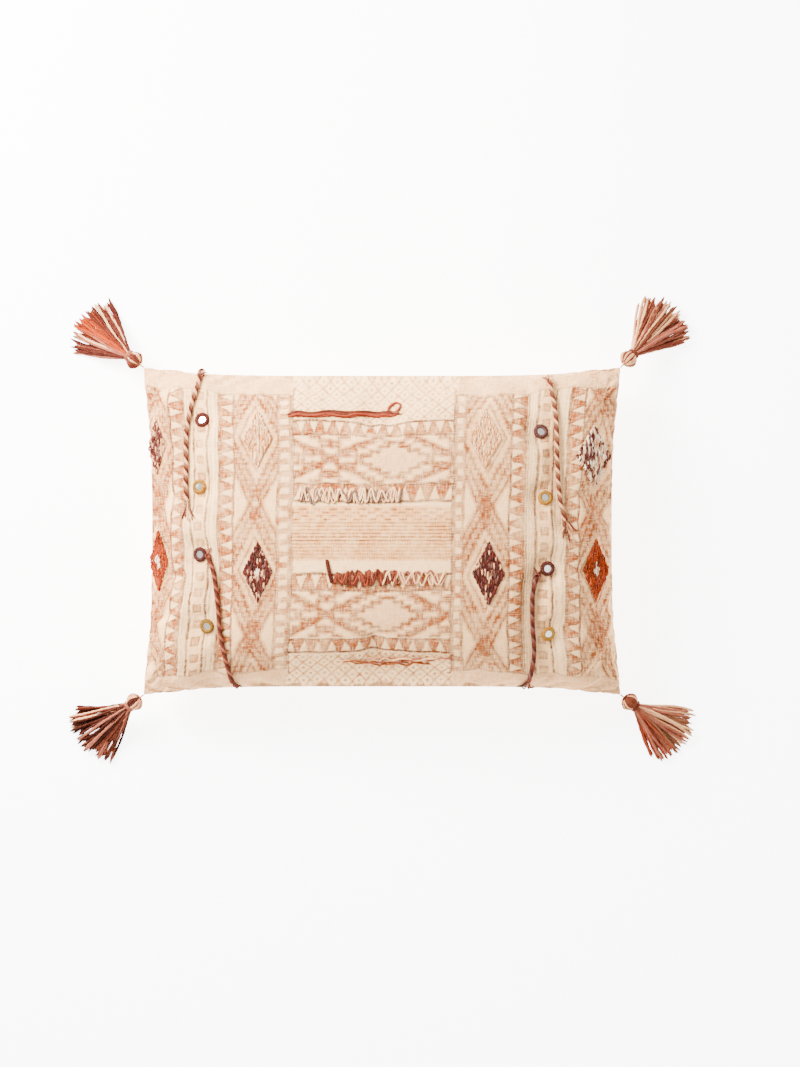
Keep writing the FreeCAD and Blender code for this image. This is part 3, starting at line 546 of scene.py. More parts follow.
def triangle_row(cloth, low, high, left, right, pitch, upright):
    x, y = cloth.x, cloth.y
    span = band(x, left, right)
    triangle_strip(cloth, x, (y - low) / (high - low), band(y, low, high) * span, pitch, upright)
    for edge in (low, high):
        cloth.paint(stroke(np.abs(y - edge), 0.95) * span, TERRACOTTA)


def block_column(cloth, left, right, pitch):
    """A salmon strip with pale blocks up its middle, between two lines."""
    x, y = cloth.x, cloth.y
    inside = band(y, PLAIN_BOTTOM, PLAIN_TOP)
    area = band(x, left, right) * inside
    cloth.paint(area * 0.85, SALMON, 0.2)
    row = ((y / pitch) % 1.0 - 0.5) * pitch
    past_side = np.abs(x - (left + right) / 2) - (right - left) / 2 + 2.2
    past_end = np.abs(row) - pitch * 0.3
    edge = np.maximum(past_side, past_end)
    cloth.blank(area * np.clip(0.5 - edge, 0, 1) * 0.85, CREAM)
    cloth.paint(area * stroke(np.abs(edge), 0.5) * 0.7, TERRACOTTA)
    for edge in (left, right):
        cloth.paint(stroke(np.abs(x - edge), 0.7) * inside * 0.8, TERRACOTTA)


def square_stripe(cloth, left, right, pitch, phase):
    """A pale stripe with small squares up its middle, and a thin line each side."""
    x, y = cloth.x, cloth.y
    inside = band(y, PLAIN_BOTTOM, PLAIN_TOP)
    middle = (left + right) / 2
    area = band(x, left, right) * inside
    cloth.paint(area * 0.35, PEACH, 0.4)
    row = ((y + phase) / pitch % 1.0 - 0.5) * pitch
    reach = np.maximum(np.abs(x - middle), np.abs(row))
    cloth.paint(area * stroke(reach, 3.9) * 0.6, SALMON, 0.2)
    cloth.paint(area * stroke(np.abs(reach - 3.6), 0.7) * 0.6, TERRACOTTA)
    cloth.blank(area * stroke(reach, 1.1) * 0.7, PEACH)
    for edge in (left, right):
        cloth.paint(stroke(np.abs(x - edge), 0.7) * inside, TERRACOTTA)


def line_stripe(cloth, left, right):
    """A plain cream stripe with a double line each side."""
    x = cloth.x
    inside = band(cloth.y, PLAIN_BOTTOM, PLAIN_TOP)
    cloth.blank(band(x, left, right) * inside * 0.8, CREAM)
    for edge, strength in ((left, 0.95), (left + 2.9, 0.5), (right - 2.9, 0.4), (right, 0.95)):
        cloth.paint(stroke(np.abs(x - edge), 0.75) * inside * strength, TERRACOTTA)


def centre_diamonds(cloth, low, high, middle, half_width, half_height):
    """A wide panel: a plain cream lozenge, with the outlines of its neighbours crossing beside it."""
    x, y = cloth.x, cloth.y
    area = band(y, low, high) * band(x, CENTRE_LEFT, CENTRE_RIGHT)
    cloth.paint(area * 0.2, PEACH, 0.45)
    up = y - (low + high) / 2
    for side in (-1, 0, 1):
        across = x - middle - side * 3.9 * half_width
        for grow, half, smooth in WIDE_OUTLINES:
            sizes = (half_width * grow, half_height * grow)
            line = plain_lozenge(across, up, *sizes) if smooth else staircase(across, up, *sizes, 4.4)
            cloth.paint(area * stroke(line, half), TERRACOTTA)
            cloth.paint(area * stroke(line, half + 1.9) * 0.55, SALMON, 0.3)
    heart = np.abs(x - middle) / half_width + np.abs(up) / half_height
    cloth.blank(area * np.clip((0.9 - heart) * 12, 0, 1), BEIGE)
    cloth.paint(area * stroke(np.hypot(x - (middle - 2.75 * half_width), up), 1.6), TERRACOTTA)


def lattice(cloth, low, high, strength):
    """Pale crossing lines with a dot in each space."""
    x, y = cloth.x, cloth.y
    area = band(y, low, high) * band(x, CENTRE_LEFT - 2, CENTRE_RIGHT + 2) * strength
    pitch = 13.6
    rise, fall = (x + y) / pitch % 1.0, (x - y) / pitch % 1.0
    for way in (rise, fall):
        cloth.paint(area * stroke(np.abs(way - 0.5) * pitch * 0.7, 0.8) * 0.8, SALMON, 0.2)
    dot = np.hypot((rise + 0.5) % 1.0 - 0.5, (fall + 0.5) % 1.0 - 0.5) * pitch * 0.7
    cloth.paint(area * stroke(dot, 1.3) * 0.8, TERRACOTTA)


def striped_panel(cloth, low, high, y):
    """Thin straight woven lines across the middle of the centre panel, the top ones broken into dashes."""
    x = cloth.x
    area = band(y, low, high) * band(x, CENTRE_LEFT, CENTRE_RIGHT)
    cloth.paint(area * 1.0, PEACH, 0.4)
    for line in np.arange(low + 3, high, 3.45):
        dashed = line > high - 15
        solid = np.clip(0.5 + 2.2 * np.sin(x / 2.4 + line), 0.1, 1) if dashed else 1.0
        strength = 1.0 if dashed or round(line) % 3 == 0 else 0.7
        cloth.paint(area * stroke(np.abs(y - line), 0.6) * 1.3 * strength * solid, TERRACOTTA)


def printed_design(x, y):
    """The whole design over places x, y."""
    wobble_x = 0.6 * np.sin(y / 17 + 1.0) + 0.3 * np.sin(y / 6.1 + x / 31) + LEAN * y
    wobble_y = 0.7 * np.sin(x / 19 + 2.0) + 0.3 * np.sin(x / 5.3 + y / 23)
    ragged = 0.8 * (patchy(x.shape, (190, 130), 5) - 0.5)
    cloth = Print(x + wobble_x + ragged, y + wobble_y + ragged)
    straight = y
    x, y = cloth.x, cloth.y
    diamond_column(cloth, -250, -213, (86, -31, -148), 12.0, 30.0)
    triangle_column(cloth, -214, -201, 12.6, 3.0)
    line_stripe(cloth, -200, -192)
    square_stripe(cloth, -191, -176.5, 16.4, 4.0)
    line_stripe(cloth, -175.5, -164.5)
    triangle_column(cloth, -163.5, -148, 12.8, 7.0, False)
    diamond_column(cloth, -148, -105, (93.5, -38, -169, 224), 16.5, 33.0)
    block_column(cloth, -105, -91, 11.5)
    block_column(cloth, 71, 82, 13.0)
    diamond_column(cloth, 82, 126, (93.5, -44, -182, 230), 18.0, 35.0)
    triangle_column(cloth, 126.5, 142.5, 12.8, 5.0)
    line_stripe(cloth, 144.5, 153.5)
    square_stripe(cloth, 155, 171.5, 15.6, 9.0)
    line_stripe(cloth, 172.5, 185)
    triangle_column(cloth, 186, 200, 12.6, 1.0, False)
    diamond_column(cloth, 200.5, 236, (76, -40, -156, 192), 16.0, 33.0)
    cloth.blank(band(x, CENTRE_LEFT, CENTRE_RIGHT) * band(y, -158, 158), CREAM)
    lattice(cloth, 113, 162, 0.8)
    triangle_row(cloth, 96, 111, CENTRE_LEFT, CENTRE_RIGHT, 12.5, False)
    centre_diamonds(cloth, 48, 95, 11.0, 33.0, 16.0)
    triangle_row(cloth, 29, 47, CENTRE_LEFT, CENTRE_RIGHT, 15.0, True)
    striped_panel(cloth, -29.5, 25, straight)
    triangle_row(cloth, -60, -43, CENTRE_LEFT, CENTRE_RIGHT, 14.5, False)
    centre_diamonds(cloth, -107, -61, 7.0, 31.0, 17.0)
    triangle_row(cloth, -124, -109, CENTRE_LEFT, CENTRE_RIGHT, 13.5, True)
    lattice(cloth, -160, -126, 1.0)
    for edge in (CENTRE_LEFT, CENTRE_RIGHT):
        cloth.paint(stroke(np.abs(x - edge), 0.75) * band(y, -150, 150), TERRACOTTA)
    beside = 1 - band(x, CENTRE_LEFT - 2, CENTRE_RIGHT + 2)
    for edge, way in ((PLAIN_TOP, 1), (PLAIN_BOTTOM, -1)):
        cloth.blank(np.clip(0.5 + way * (y - edge), 0, 1) * beside, BEIGE)
        cloth.paint(stroke(np.abs(y - edge), 0.6) * beside * 0.5, TERRACOTTA)
    return cloth.colour, cloth.relief


# ---------------------------------------------------------------- where the cords run

CORD_ROUTES = {  # x, y and height above the face, in millimetres, as the CAD has them
    "left_upper": [
        (-185.5, 159.0, 5.0), (-187.0, 148.5, 4.2), (-192.5, 131.0, 4.0), (-197.0, 111.0, 3.9),
        (-198.5, 88.5, 3.8), (-197.5, 65.0, 3.7), (-198.5, 44.5, 3.7), (-196.5, 29.5, 3.7),
    ],
    "left_lower": [
        (-175.5, -25.5, 4.0), (-170.5, -37.0, 3.9), (-168.0, -54.5, 3.8), (-165.5, -77.0, 3.8),
        (-164.5, -99.5, 3.9), (-160.5, -121.5, 4.0), (-156.5, -139.5, 4.3), (-152.5, -151.5, 5.0),
    ],
    "right_upper": [
        (171.0, 150.0, 4.6), (173.5, 136.5, 4.1), (176.5, 117.5, 3.9), (177.5, 94.5, 3.8),
        (177.0, 71.0, 3.7), (178.5, 48.0, 3.7), (180.0, 27.0, 3.7), (186.0, 10.5, 3.7),
    ],
    "right_lower": [
        (157.0, -46.0, 3.9), (152.5, -57.5, 3.8), (152.0, -76.5, 3.8), (152.5, -98.0, 3.9),
        (155.0, -118.5, 4.0), (153.5, -137.5, 4.3), (150.0, -150.5, 5.0),
    ],
}

# ---------------------------------------------------------------- cover

SIM_COLUMNS, SIM_ROWS = 97, 69
FRONT_COLUMNS, FRONT_ROWS = 601, 425
BACK_COLUMNS, BACK_ROWS = 241, 171
CLOTH_FRAMES = 22
MOST_MOVE = 7.0 * MM  # how far the cloth may move from the CAD's surface
CALM_RADIUS = 24.0 * MM  # how far from a mirror or a cord the cloth is free again

MIRROR_NAMES = [f"{side}_{i}" for side in ("left", "right") for i in (1, 2, 3, 4)]


def middle_of(node):
    low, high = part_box(node)
    return (low + high) / 2


def lively(points):
    """How far each point may follow the cloth, from 0 to 1: nothing at the mirrors and under the cords."""
    calm = [(middle_of(f"mirror_{name}").xy, 9 * MM) for name in MIRROR_NAMES]
    for route in CORD_ROUTES.values():
        calm += [(place[:2], 4 * MM) for place in smooth_path(route, 3 * len(route)) * MM]
    share = np.ones(points.shape[:-1])
    for (x, y), radius in calm:
        near = np.hypot(points[..., 0] - x, points[..., 1] - y)
        share = np.minimum(share, np.clip((near - radius) / CALM_RADIUS, 0, 1))
    return share * share * (3 - 2 * share)


def simulated(front, back):
    """Both panels after a short cloth simulation: slack cloth over the stuffing, held at the seam."""
    points, faces, index_front, index_back = joined(front, back)
    mesh = mesh_from("slack_cloth", points, faces.tolist())
    obj = bpy.data.objects.new("slack_cloth", mesh)
    bpy.context.collection.objects.link(obj)
    held = obj.vertex_groups.new(name="held")
    seam = np.intersect1d(index_front, index_back)
    flat = np.nonzero(points[:, 2] < 0.5 * MM)[0]
    held.add(np.unique(np.concatenate([seam, flat])).tolist(), 1.0, "REPLACE")
    cloth = obj.modifiers.new("cloth", "CLOTH")
    cloth.settings.quality = 6
    cloth.settings.mass = 0.3
    cloth.settings.tension_stiffness = 20
    cloth.settings.compression_stiffness = 20
    cloth.settings.shear_stiffness = 8
    cloth.settings.bending_stiffness = 0.8
    cloth.settings.use_pressure = True
    cloth.settings.uniform_pressure_force = 4.0
    cloth.settings.shrink_min = -0.035
    cloth.settings.vertex_group_mass = "held"
    cloth.settings.effector_weights.gravity = 0.0
    cloth.collision_settings.use_collision = False
    cloth.point_cache.frame_start = 1
    cloth.point_cache.frame_end = CLOTH_FRAMES
    scene = bpy.context.scene
    for step in range(1, CLOTH_FRAMES + 1):
        scene.frame_set(step)
    shaped = obj.evaluated_get(bpy.context.evaluated_depsgraph_get()).data
    moved = np.empty(len(points) * 3)
    shaped.vertices.foreach_get("co", moved)
    moved = moved.reshape(-1, 3)
    scene.frame_set(1)
    bpy.data.objects.remove(obj)
    bpy.data.meshes.remove(mesh)
    return moved[index_front], moved[index_back]


def limited(start, moved):
    """The moved points, no further than MOST_MOVE from where they began."""
    shift = (moved - start) * lively(start)[..., None]
    far = np.linalg.norm(shift, axis=-1, keepdims=True)
    return start + shift * (MOST_MOVE * np.tanh(far / MOST_MOVE) / np.maximum(far, 1e-9))


def lip_opening(x):
    """Half the height of the opening over the zip at x, nothing beyond its ends."""
    ends = np.clip((ZIP_HALF - np.abs(x)) / (14 * MM), 0, 1)
    return LIP * ends * ends * (3 - 2 * ends)


def with_hem(grid, side):
    """A panel's grid with the hem beside the zip turned in along its lower edge."""
    edge = grid[:, :1].copy()
    opening = lip_opening(edge[..., 0])
    fade = np.exp(-np.arange(grid.shape[1]) / (grid.shape[1] * 0.012))
    grid = grid.copy()
    grid[..., 2] += side * opening * fade[None, :]
    edge = grid[:, :1]
    rows = []
    for share in (1.0, 0.6, 0.25):
        row = edge.copy()
        depth = np.minimum(ZIP_Y - 0.4 * MM - edge[..., 1], 7 * MM) * (opening > 0.2 * MM)
        row[..., 1] += depth * share
        row[..., 2] += side * 0.5 * MM * share * (opening > 0.2 * MM)
        rows.append(row)
    return np.concatenate(rows + [grid], axis=1), len(rows)


def stitched_relief(grid, u, v):
    """How far the cloth puckers along the seam: small even dimples."""
    to_side = (1 - np.abs(u)) * COVER.x
    to_edge = (1 - np.abs(v)) * COVER.y
    along = np.where(to_side < to_edge, grid[..., 1], grid[..., 0])
    near = np.minimum(to_side, to_edge)
    return np.exp(-((near / (1.6 * MM)) ** 2)) * np.sin(along * 2 * math.pi / (4.2 * MM)) * 0.25 * MM


def outward(grid):
    """Unit normals of a grid of points."""
    along = np.gradient(grid, axis=0)
    across = np.gradient(grid, axis=1)
    normal = np.cross(along, across)
    return normal / (np.linalg.norm(normal, axis=-1, keepdims=True) + 1e-12)


def cover(material_front, material_back):
    front, u, v = stuffed_grid(SIM_COLUMNS, SIM_ROWS, 0.0, CROWN_RISE)
    back, _, _ = stuffed_grid(SIM_COLUMNS, SIM_ROWS, 0.0, -BELLY_DROP, floor=0.0)
    moved_front, moved_back = front, back
    moved_front, moved_back = simulated(front, back)
    moved_front, moved_back = limited(front, moved_front), limited(back, moved_back)
    moved_back[..., 2] = np.maximum(moved_back[..., 2], 0.0)
    pieces = []
    for name, start, moved, rise, floor, size, material in (
        ("cover_front", front, moved_front, CROWN_RISE, None, (FRONT_COLUMNS, FRONT_ROWS), material_front),
        ("cover_back", back, moved_back, -BELLY_DROP, 0.0, (BACK_COLUMNS, BACK_ROWS), material_back),
    ):
        grid, u, v = stuffed_grid(*size, 0.0, rise, floor)
        grid = grid + refined(moved - start, *size)
        side = 1 if rise > 0 else -1
        place = np.stack([u * (COVER.x - SIDE_PULL_IN), v * (COVER.y - EDGE_PULL_IN)], axis=-1)
        colour, relief = printed_design(place[..., 0] / MM, place[..., 1] / MM)
        if side < 0:
            colour, relief = np.broadcast_to(BEIGE, colour.shape).copy(), np.zeros(relief.shape)
        normal = outward(grid) * side
        lumps = patchy(relief.shape, (330, 230), 6) - 0.5
        lift = (relief * 0.9 + lumps * 0.5) * MM + stitched_relief(grid, u, v)
        edge = np.clip(np.minimum(1 - np.abs(u), 1 - np.abs(v)) * 60, 0, 1)
        grid = grid + normal * (lift * edge)[..., None]
        if side < 0:
            grid[..., 2] = np.maximum(grid[..., 2], 0.05 * MM)
        grid, extra = with_hem(grid, side)
        place = np.concatenate([place[:, :1]] * extra + [place], axis=1)
        colour = np.concatenate([np.broadcast_to(BEIGE, colour[:, :1].shape)] * extra + [colour], axis=1)
        index = np.arange(grid[..., 0].size).reshape(grid.shape[:2])
        mesh = mesh_from(name, grid, grid_faces(index, side < 0).tolist())
        flat_place = np.concatenate([place, np.zeros(place.shape[:-1] + (1,))], axis=-1)
        add_attribute(mesh, "cloth_place", "FLOAT_VECTOR", flat_place)
        add_attribute(mesh, "design", "FLOAT_COLOR", with_alpha(colour))
        pieces.append(new_object(name, mesh, material))
    return pieces


def surface_of(obj):
    mesh = obj.data
    points = np.empty(len(mesh.vertices) * 3)
    mesh.vertices.foreach_get("co", points)
    corners = np.empty(len(mesh.polygons) * 4, dtype=np.int32)
    mesh.polygons.foreach_get("vertices", corners)
    return BVHTree.FromPolygons(points.reshape(-1, 3).tolist(), corners.reshape(-1, 4).tolist())


def on_cloth(x, y, height=0.0):
    """The point that height above the cover's face, over x, y in metres, and the face's normal there."""
    hit, normal, _, _ = FACE.ray_cast(Vector((x, y, 1.0)), Vector((0, 0, -1)))
    if hit is None:
        hit, normal, _, _ = FACE.find_nearest(Vector((x, y, SEAM_LEVEL)))
    if normal.z < 0:
        normal = -normal
    return np.array(hit + normal * height), np.array(normal)


def laid(points, heights):
    """Points in millimetres from the middle, laid on the cover at those heights in millimetres."""
    return np.array([on_cloth(x * MM, y * MM, h * MM)[0] for (x, y), h in zip(points, heights)])


# ---------------------------------------------------------------- insert


def closed_cushion(name, inset, rise, drop, floor, columns, rows, material):
    """A closed crowned form inside the cover."""
    upper, _, _ = stuffed_grid(columns, rows, inset, rise)
    lower, _, _ = stuffed_grid(columns, rows, inset, -drop, floor)
    points, faces, _, _ = joined(upper, lower)
    mesh = mesh_from(name, points, faces.tolist())
    add_attribute(mesh, "cloth_place", "FLOAT_VECTOR", points * (1, 1, 0))
    return new_object(name, mesh, material)


def insert():
    gap = 2.2 * MM
    inset = COVER.x - INSERT.x
    casing = closed_cushion(
        "insert_casing", inset, CROWN_RISE - gap - 6 * MM, BELLY_DROP - gap - 4 * MM, 4 * MM, 81, 57,
        woven_material("insert_cotton", 0.8 * MM, colour=seen(240, 238, 232), slub=0.2),
    )
    placed(casing, "cushion", "insert_casing_front", "insert_casing_back", slot="insert_cloth")
    fill = closed_cushion(
        "insert_fibre", inset + 3 * MM, CROWN_RISE - 11 * MM, BELLY_DROP - 9 * MM, 6 * MM, 61, 43,
        fibre_material("loose_fibre"),
    )
    placed(fill, "cushion", "insert_fill")


# ---------------------------------------------------------------- mirrors

RING_LOOKS = {
    "left_1": (BURGUNDY, PLUM),
    "left_2": (GOLD, OLIVE_GOLD),
    "left_3": (DARK_PLUM, PLUM),
    "left_4": (OLIVE_GOLD, GOLD),
    "right_1": (DARK_PLUM, DUSTY_PLUM),
    "right_2": (GOLD, OLIVE_GOLD),
    "right_3": (BURGUNDY, DARK_PLUM),
    "right_4": (GOLD, OLIVE_GOLD),
}
RING_STITCHES = 34


def mirror_frame(name):
    """A mirror's middle on the cloth, and three unit directions: two across it and one out of it."""
    centre = middle_of(f"mirror_{name}")
    origin, out = on_cloth(centre.x, centre.y)
    across = np.cross((0.0, 1.0, 0.0), out)
    across /= np.linalg.norm(across)
    return origin, across, np.cross(out, across), out


def stitched_ring(name, material, rng):
    """Buttonhole stitches round a mirror, and the corded edge inside them."""
    origin, across, up, out = mirror_frame(name)
    main, other = RING_LOOKS[name]

    def at(turn, reach, height):
        way = math.cos(turn) * across + math.sin(turn) * up
        return origin + way * reach * MM + out * height * MM

    strands = []
    for i in range(RING_STITCHES):
        turn = 2 * math.pi * i / RING_STITCHES + rng.uniform(-0.04, 0.04)
        far = 7.2 + rng.uniform(-0.35, 0.35)
        profile = [(far, 0.2), (far - 0.5, 1.2), (6.1, 2.3), (5.0, 2.5), (4.3, 1.9)]
        path = smooth_path([at(turn + 0.05 * k, r, h) for k, (r, h) in enumerate(profile)], 9)
        tone = main * (1 - rng.random() * 0.3) + other * rng.random() * 0.3
        strands.append((path, 0.62 * MM, tone))
    for reach, height, radius in ((4.35, 2.05, 0.62), (7.1, 0.55, 0.55)):
        turns = np.linspace(0, 2 * math.pi, 49)
        path = np.array([at(t, reach + 0.12 * math.sin(9 * t), height) for t in turns])
        strands.append((path, radius * MM, other if reach < 5 else main))
    ring = yarns(f"mirror_stitches_{name}", strands, material, 500)
    placed(ring, "cushion", f"mirror_ring_{name}")


# ---------------------------------------------------------------- embroidery


def in_lozenge(x, y, width, height):
    return abs(x) / (width / 2) + abs(y) / (height / 2)


def shaggy_lozenge(name, node, palette, material, rng, heart=0.0, density=1.0, centre=None, size=None):
    """Close upright stitches of uneven length in a lozenge. palette: colours with their shares."""
    if node:
        low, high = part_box(node)
        centre = ((low.x + high.x) / 2 / MM, (low.y + high.y) / 2 / MM)
        size = ((high.x - low.x) / MM, (high.y - low.y) / MM)
    width, height = size
    strands = []
    pitch = 1.0 / density
    columns = int(width / pitch)
    for i in range(columns):
        x = (i + 0.5) * pitch - width / 2
        reach = height / 2 * (1 - abs(x) / (width / 2))
        y = -reach + rng.uniform(-1.5, 1.0)
        while y < reach:
            length = rng.uniform(4.5, 10.5)
            end = min(y + length, reach + rng.uniform(-1.0, 2.0))
            if end - y > 1.5:
                middle = (y + end) / 2
                inside = in_lozenge(x, middle, width, height)
                if inside < heart:
                    colour = IVORY
                else:
                    colour = weighted(palette, rng)
                sway = rng.uniform(-0.8, 0.8)
                lift = rng.uniform(1.0, 2.4)
                line = [(x - sway * 0.5, y), (x + sway, middle), (x - sway * 0.3, end)]
                path = laid([(centre[0] + a, centre[1] + b) for a, b in line], (0.3, lift, 0.3))
                strands.append((smooth_path(path, 6), rng.uniform(0.65, 0.95) * MM, varied(colour, rng)))
            y = end - rng.uniform(0.2, 1.4)
    piece = yarns(name, strands, material, 420)
    placed(piece, "cushion", *([node] if node else []), slot=None if node else "thread_cream")


def weighted(palette, rng):
    pick = rng.random() * sum(share for _, share in palette)
    for colour, share in palette:
        pick -= share
        if pick <= 0:
            return colour
    return palette[-1][0]


def varied(colour, rng, amount=0.14):
    return np.clip(np.asarray(colour) * (1 + rng.uniform(-amount, amount)), 0, 1)


# ---------------------------------------------------------------- fringes


def reach_of(node):
    """A fringe's left and right ends and its middle line, in millimetres."""
    low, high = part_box(node)
    return low.x / MM, high.x / MM, (low.y + high.y) / 2 / MM


def dyed(path, radius, palette, rng):
    """A strand in one of the palette's colours, a little lighter or darker."""
    return path, radius * MM, varied(weighted(palette, rng), rng)


def fringe(node, name, strands, material):
    placed(yarns(name, strands, material, 300, 0.16), "cushion", node)


def float_yarn(x0, x1, y, wave, height, rng, points=9):
    """A yarn laid along X with a lazy wave."""
    xs = np.linspace(x0, x1, points)
    line = [(x, y + wave * math.sin(i * 1.9 + rng.uniform(-0.4, 0.4))) for i, x in enumerate(xs)]
    heights = [0.6] + [height + rng.uniform(-0.4, 0.6) for _ in xs[2:]] + [0.6]
    return smooth_path(laid(line, heights), points * 4)


def hanging(x, y, most_up, sway, swing, rng):
    """Three points of a short yarn that hangs over a fringe's middle line."""
    top = (x, y + rng.uniform(2, most_up))
    return [top, (x + rng.uniform(-sway, sway), y), (x + rng.uniform(-swing, swing), y - rng.uniform(4, 9))]


def looped_row(x0, x1, low, high, pitch, rng):
    """A yarn that runs up and down in uneven loops."""
    line, heights, x, up = [], [], x0, False
    while x < x1:
        line.append((x + rng.uniform(-0.8, 0.8), (high if up else low) + rng.uniform(-2.0, 2.0)))
        heights.append(rng.uniform(1.2, 2.9))
        x += pitch / 2 * rng.uniform(0.6, 1.4)
        up = not up
    return smooth_path(laid(line, heights), len(line) * 6)


def fringes(material, rng):
    left, right, y = reach_of("fringe_top")
    strands = []
    for i in range(9):
        start, stop = left + rng.uniform(0, 10), right - rng.uniform(0, 12)
        colour = weighted([(CORAL, 4), (RUST, 4), (PINK, 1)], rng)
        path = float_yarn(start, stop, y + (i % 3 - 1) * 1.5, 0.9, 1.2 + (i // 3) * 0.9, rng, 12)
        strands.append((path, 1.15 * MM, varied(colour, rng)))
    loop = [(-14, -1), (-6, 3), (-2, 9), (-7, 12), (-13, 8), (-16, 2)]
    path = laid([(right + a, y + b) for a, b in loop], [1.5] * 6)
    strands.append((smooth_path(path, 28), 1.2 * MM, CORAL))
    fringe("fringe_top", "laid_yarn_top", strands, material)

    left, right, y = reach_of("fringe_upper")
    strands = []
    for i, colour in enumerate((CREAM, GREY_PLUM, YARN_CREAM)):
        path = looped_row(left + 3 + i * 3, right - rng.uniform(0, 8), y - 6, y + 7, 9.5, rng)
        strands.append((path, 1.0 * MM, varied(colour, rng)))
    for i in range(20):
        x = rng.uniform(left + 2, right - 4)
        line = hanging(x, y, 7, 2, 4, rng)
        colour = weighted([(CREAM, 4), (GREY_PLUM, 3), (TAN, 3)], rng)
        strands.append((smooth_path(laid(line, (0.8, 2.2, 1.0)), 9), 0.85 * MM, varied(colour, rng)))
    fringe("fringe_upper", "laid_yarn_upper", strands, material)

    left, right, y = reach_of("fringe_lower")
    strands = []
    for colour in (RUST, BRICK, CORAL):
        path = looped_row(left + 2 + rng.uniform(0, 6), left + 72, y - 7, y + 6, 9.0, rng)
        strands.append((path, 1.15 * MM, varied(colour, rng)))
    for i in range(3):
        path = looped_row(left + 64 - i * 5, right - 2, y - 7.5, y + 5.5, 12.5, rng)
        strands.append((path, 1.05 * MM, varied((YARN_CREAM, PINK, CREAM)[i], rng)))
    for i in range(22):
        x = rng.uniform(left + 2, left + 70)
        line = hanging(x, y, 6, 1.5, 3, rng)
        colour = weighted([(RUST, 4), (BURGUNDY, 3), (BRICK, 3), (PINK, 2)], rng)
        strands.append((smooth_path(laid(line, (0.8, 2.6, 1.0)), 9), 0.95 * MM, varied(colour, rng)))
    tall = [(left + 3, y - 6), (left + 1, y + 3), (left - 1, y + 11), (left - 2, y + 18)]
    for shift in (-0.9, 0.2, 1.2):
        path = laid([(a + shift, b) for a, b in tall], (1, 2.4, 2.0, 0.9))
        strands.append((smooth_path(path, 14), 0.9 * MM, BURGUNDY))
    fringe("fringe_lower", "laid_yarn_lower", strands, material)

    left, right, y = reach_of("fringe_bottom")
    strands = []
    for i in range(9):
        start = left + rng.uniform(0, 50)
        stop = min(right, start + rng.uniform(40, 90))
        colour = weighted([(SALMON, 4), (YARN_CREAM, 4), (PINK, 2)], rng)
        path = float_yarn(start, stop, y + rng.uniform(-3.2, 3.2), 1.4, 1.3 + (i % 3) * 0.6, rng, 10)
        strands.append((path, 0.75 * MM, varied(colour, rng)))
    fringe("fringe_bottom", "laid_yarn_bottom", strands, material)


# ---------------------------------------------------------------- loose cords

CORD_LOOKS = {
    "left_upper": (TAN, YARN_CREAM, BURGUNDY),
    "left_lower": (BURGUNDY, PINK, RUST),
    "right_upper": (RUST, TAN, YARN_CREAM),
    "right_lower": (MAROON, RUST, DUSTY_PLUM),
}


def ideal_face(x, y):
    """Height and normal of the CAD's own face, over x, y in metres."""

    def height(x, y):
        u = v = 0.0
        for _ in range(12):
            u = max(-1.0, min(1.0, x / mid_width(v)))
            v = max(-1.0, min(1.0, y / mid_height(u)))
        share = math.sqrt(max(0.0, 1 - u * u)) * math.sqrt(max(0.0, 1 - v * v))
        swell = share * (FULLNESS - (FULLNESS - 1) * share**2)
        return SEAM_LEVEL - float(droop(u, v)) + CROWN_RISE * swell

    step = 0.5 * MM
    slope_x = (height(x + step, y) - height(x - step, y)) / (2 * step)
    slope_y = (height(x, y + step) - height(x, y - step)) / (2 * step)
    return Vector((x, y, height(x, y))), Vector((-slope_x, -slope_y, 1)).normalized()


def route_curve(name, points):
    """The route's own NURBS spline."""
    curve = bpy.data.curves.new(name, "CURVE")
    curve.dimensions = "3D"
    curve.resolution_u = 16
    spline = curve.splines.new("NURBS")
    spline.points.add(len(points) - 1)
    for point, target in zip(points, spline.points):
        target.co = (*point, 1.0)
    spline.order_u = 3
    spline.use_endpoint_u = True
    return bpy.data.objects.new(name, curve)


def points_along(route):
    """Points read from the route's spline."""
    mesh = bpy.data.meshes.new_from_object(route)
    points = np.array([v.co for v in mesh.vertices])
    bpy.data.meshes.remove(mesh)
    return points


def twisted_cord(name, material, rng):
    """Three plies of yarn twisted round the route, with a knot at the top and a frayed end."""
    points = []
    for x, y, height in CORD_ROUTES[name]:
        place, normal = ideal_face(x * MM, y * MM)
        points.append(place + normal * height * MM)
    route = route_curve(f"cord_route_{name}", points)
    path = smooth_path(points_along(route), 150)
    bpy.data.objects.remove(route)
    length = np.linalg.norm(np.diff(path, axis=0), axis=1).sum()
    travelled = np.linspace(0, 1, len(path)) * length
    tangent = np.gradient(path, axis=0)
    tangent /= np.linalg.norm(tangent, axis=1)[:, None]
    up = np.array([0.0, 0.0, 1.0])
    side = np.cross(tangent, up)
    side /= np.linalg.norm(side, axis=1)[:, None]
    over = np.cross(side, tangent)
    strands = []
    lay = 13.0 * MM
    for ply, colour in enumerate(CORD_LOOKS[name]):
        for twin in (0, 1):
            turn = 2 * math.pi * (travelled / lay + ply / 3) + twin * 0.75
            spread = (1.45 + 0.12 * twin) * MM
            offset = spread * (np.cos(turn)[:, None] * side + np.sin(turn)[:, None] * over)
            strands.append((path + offset, tapered(len(path), 0.95 * MM), varied(colour, rng, 0.1)))
    cord = yarns(f"cord_twist_{name}", strands, material, 330)
    placed(cord, "cushion", f"cord_{name}")
    ends = cord_ends(name, material, rng)


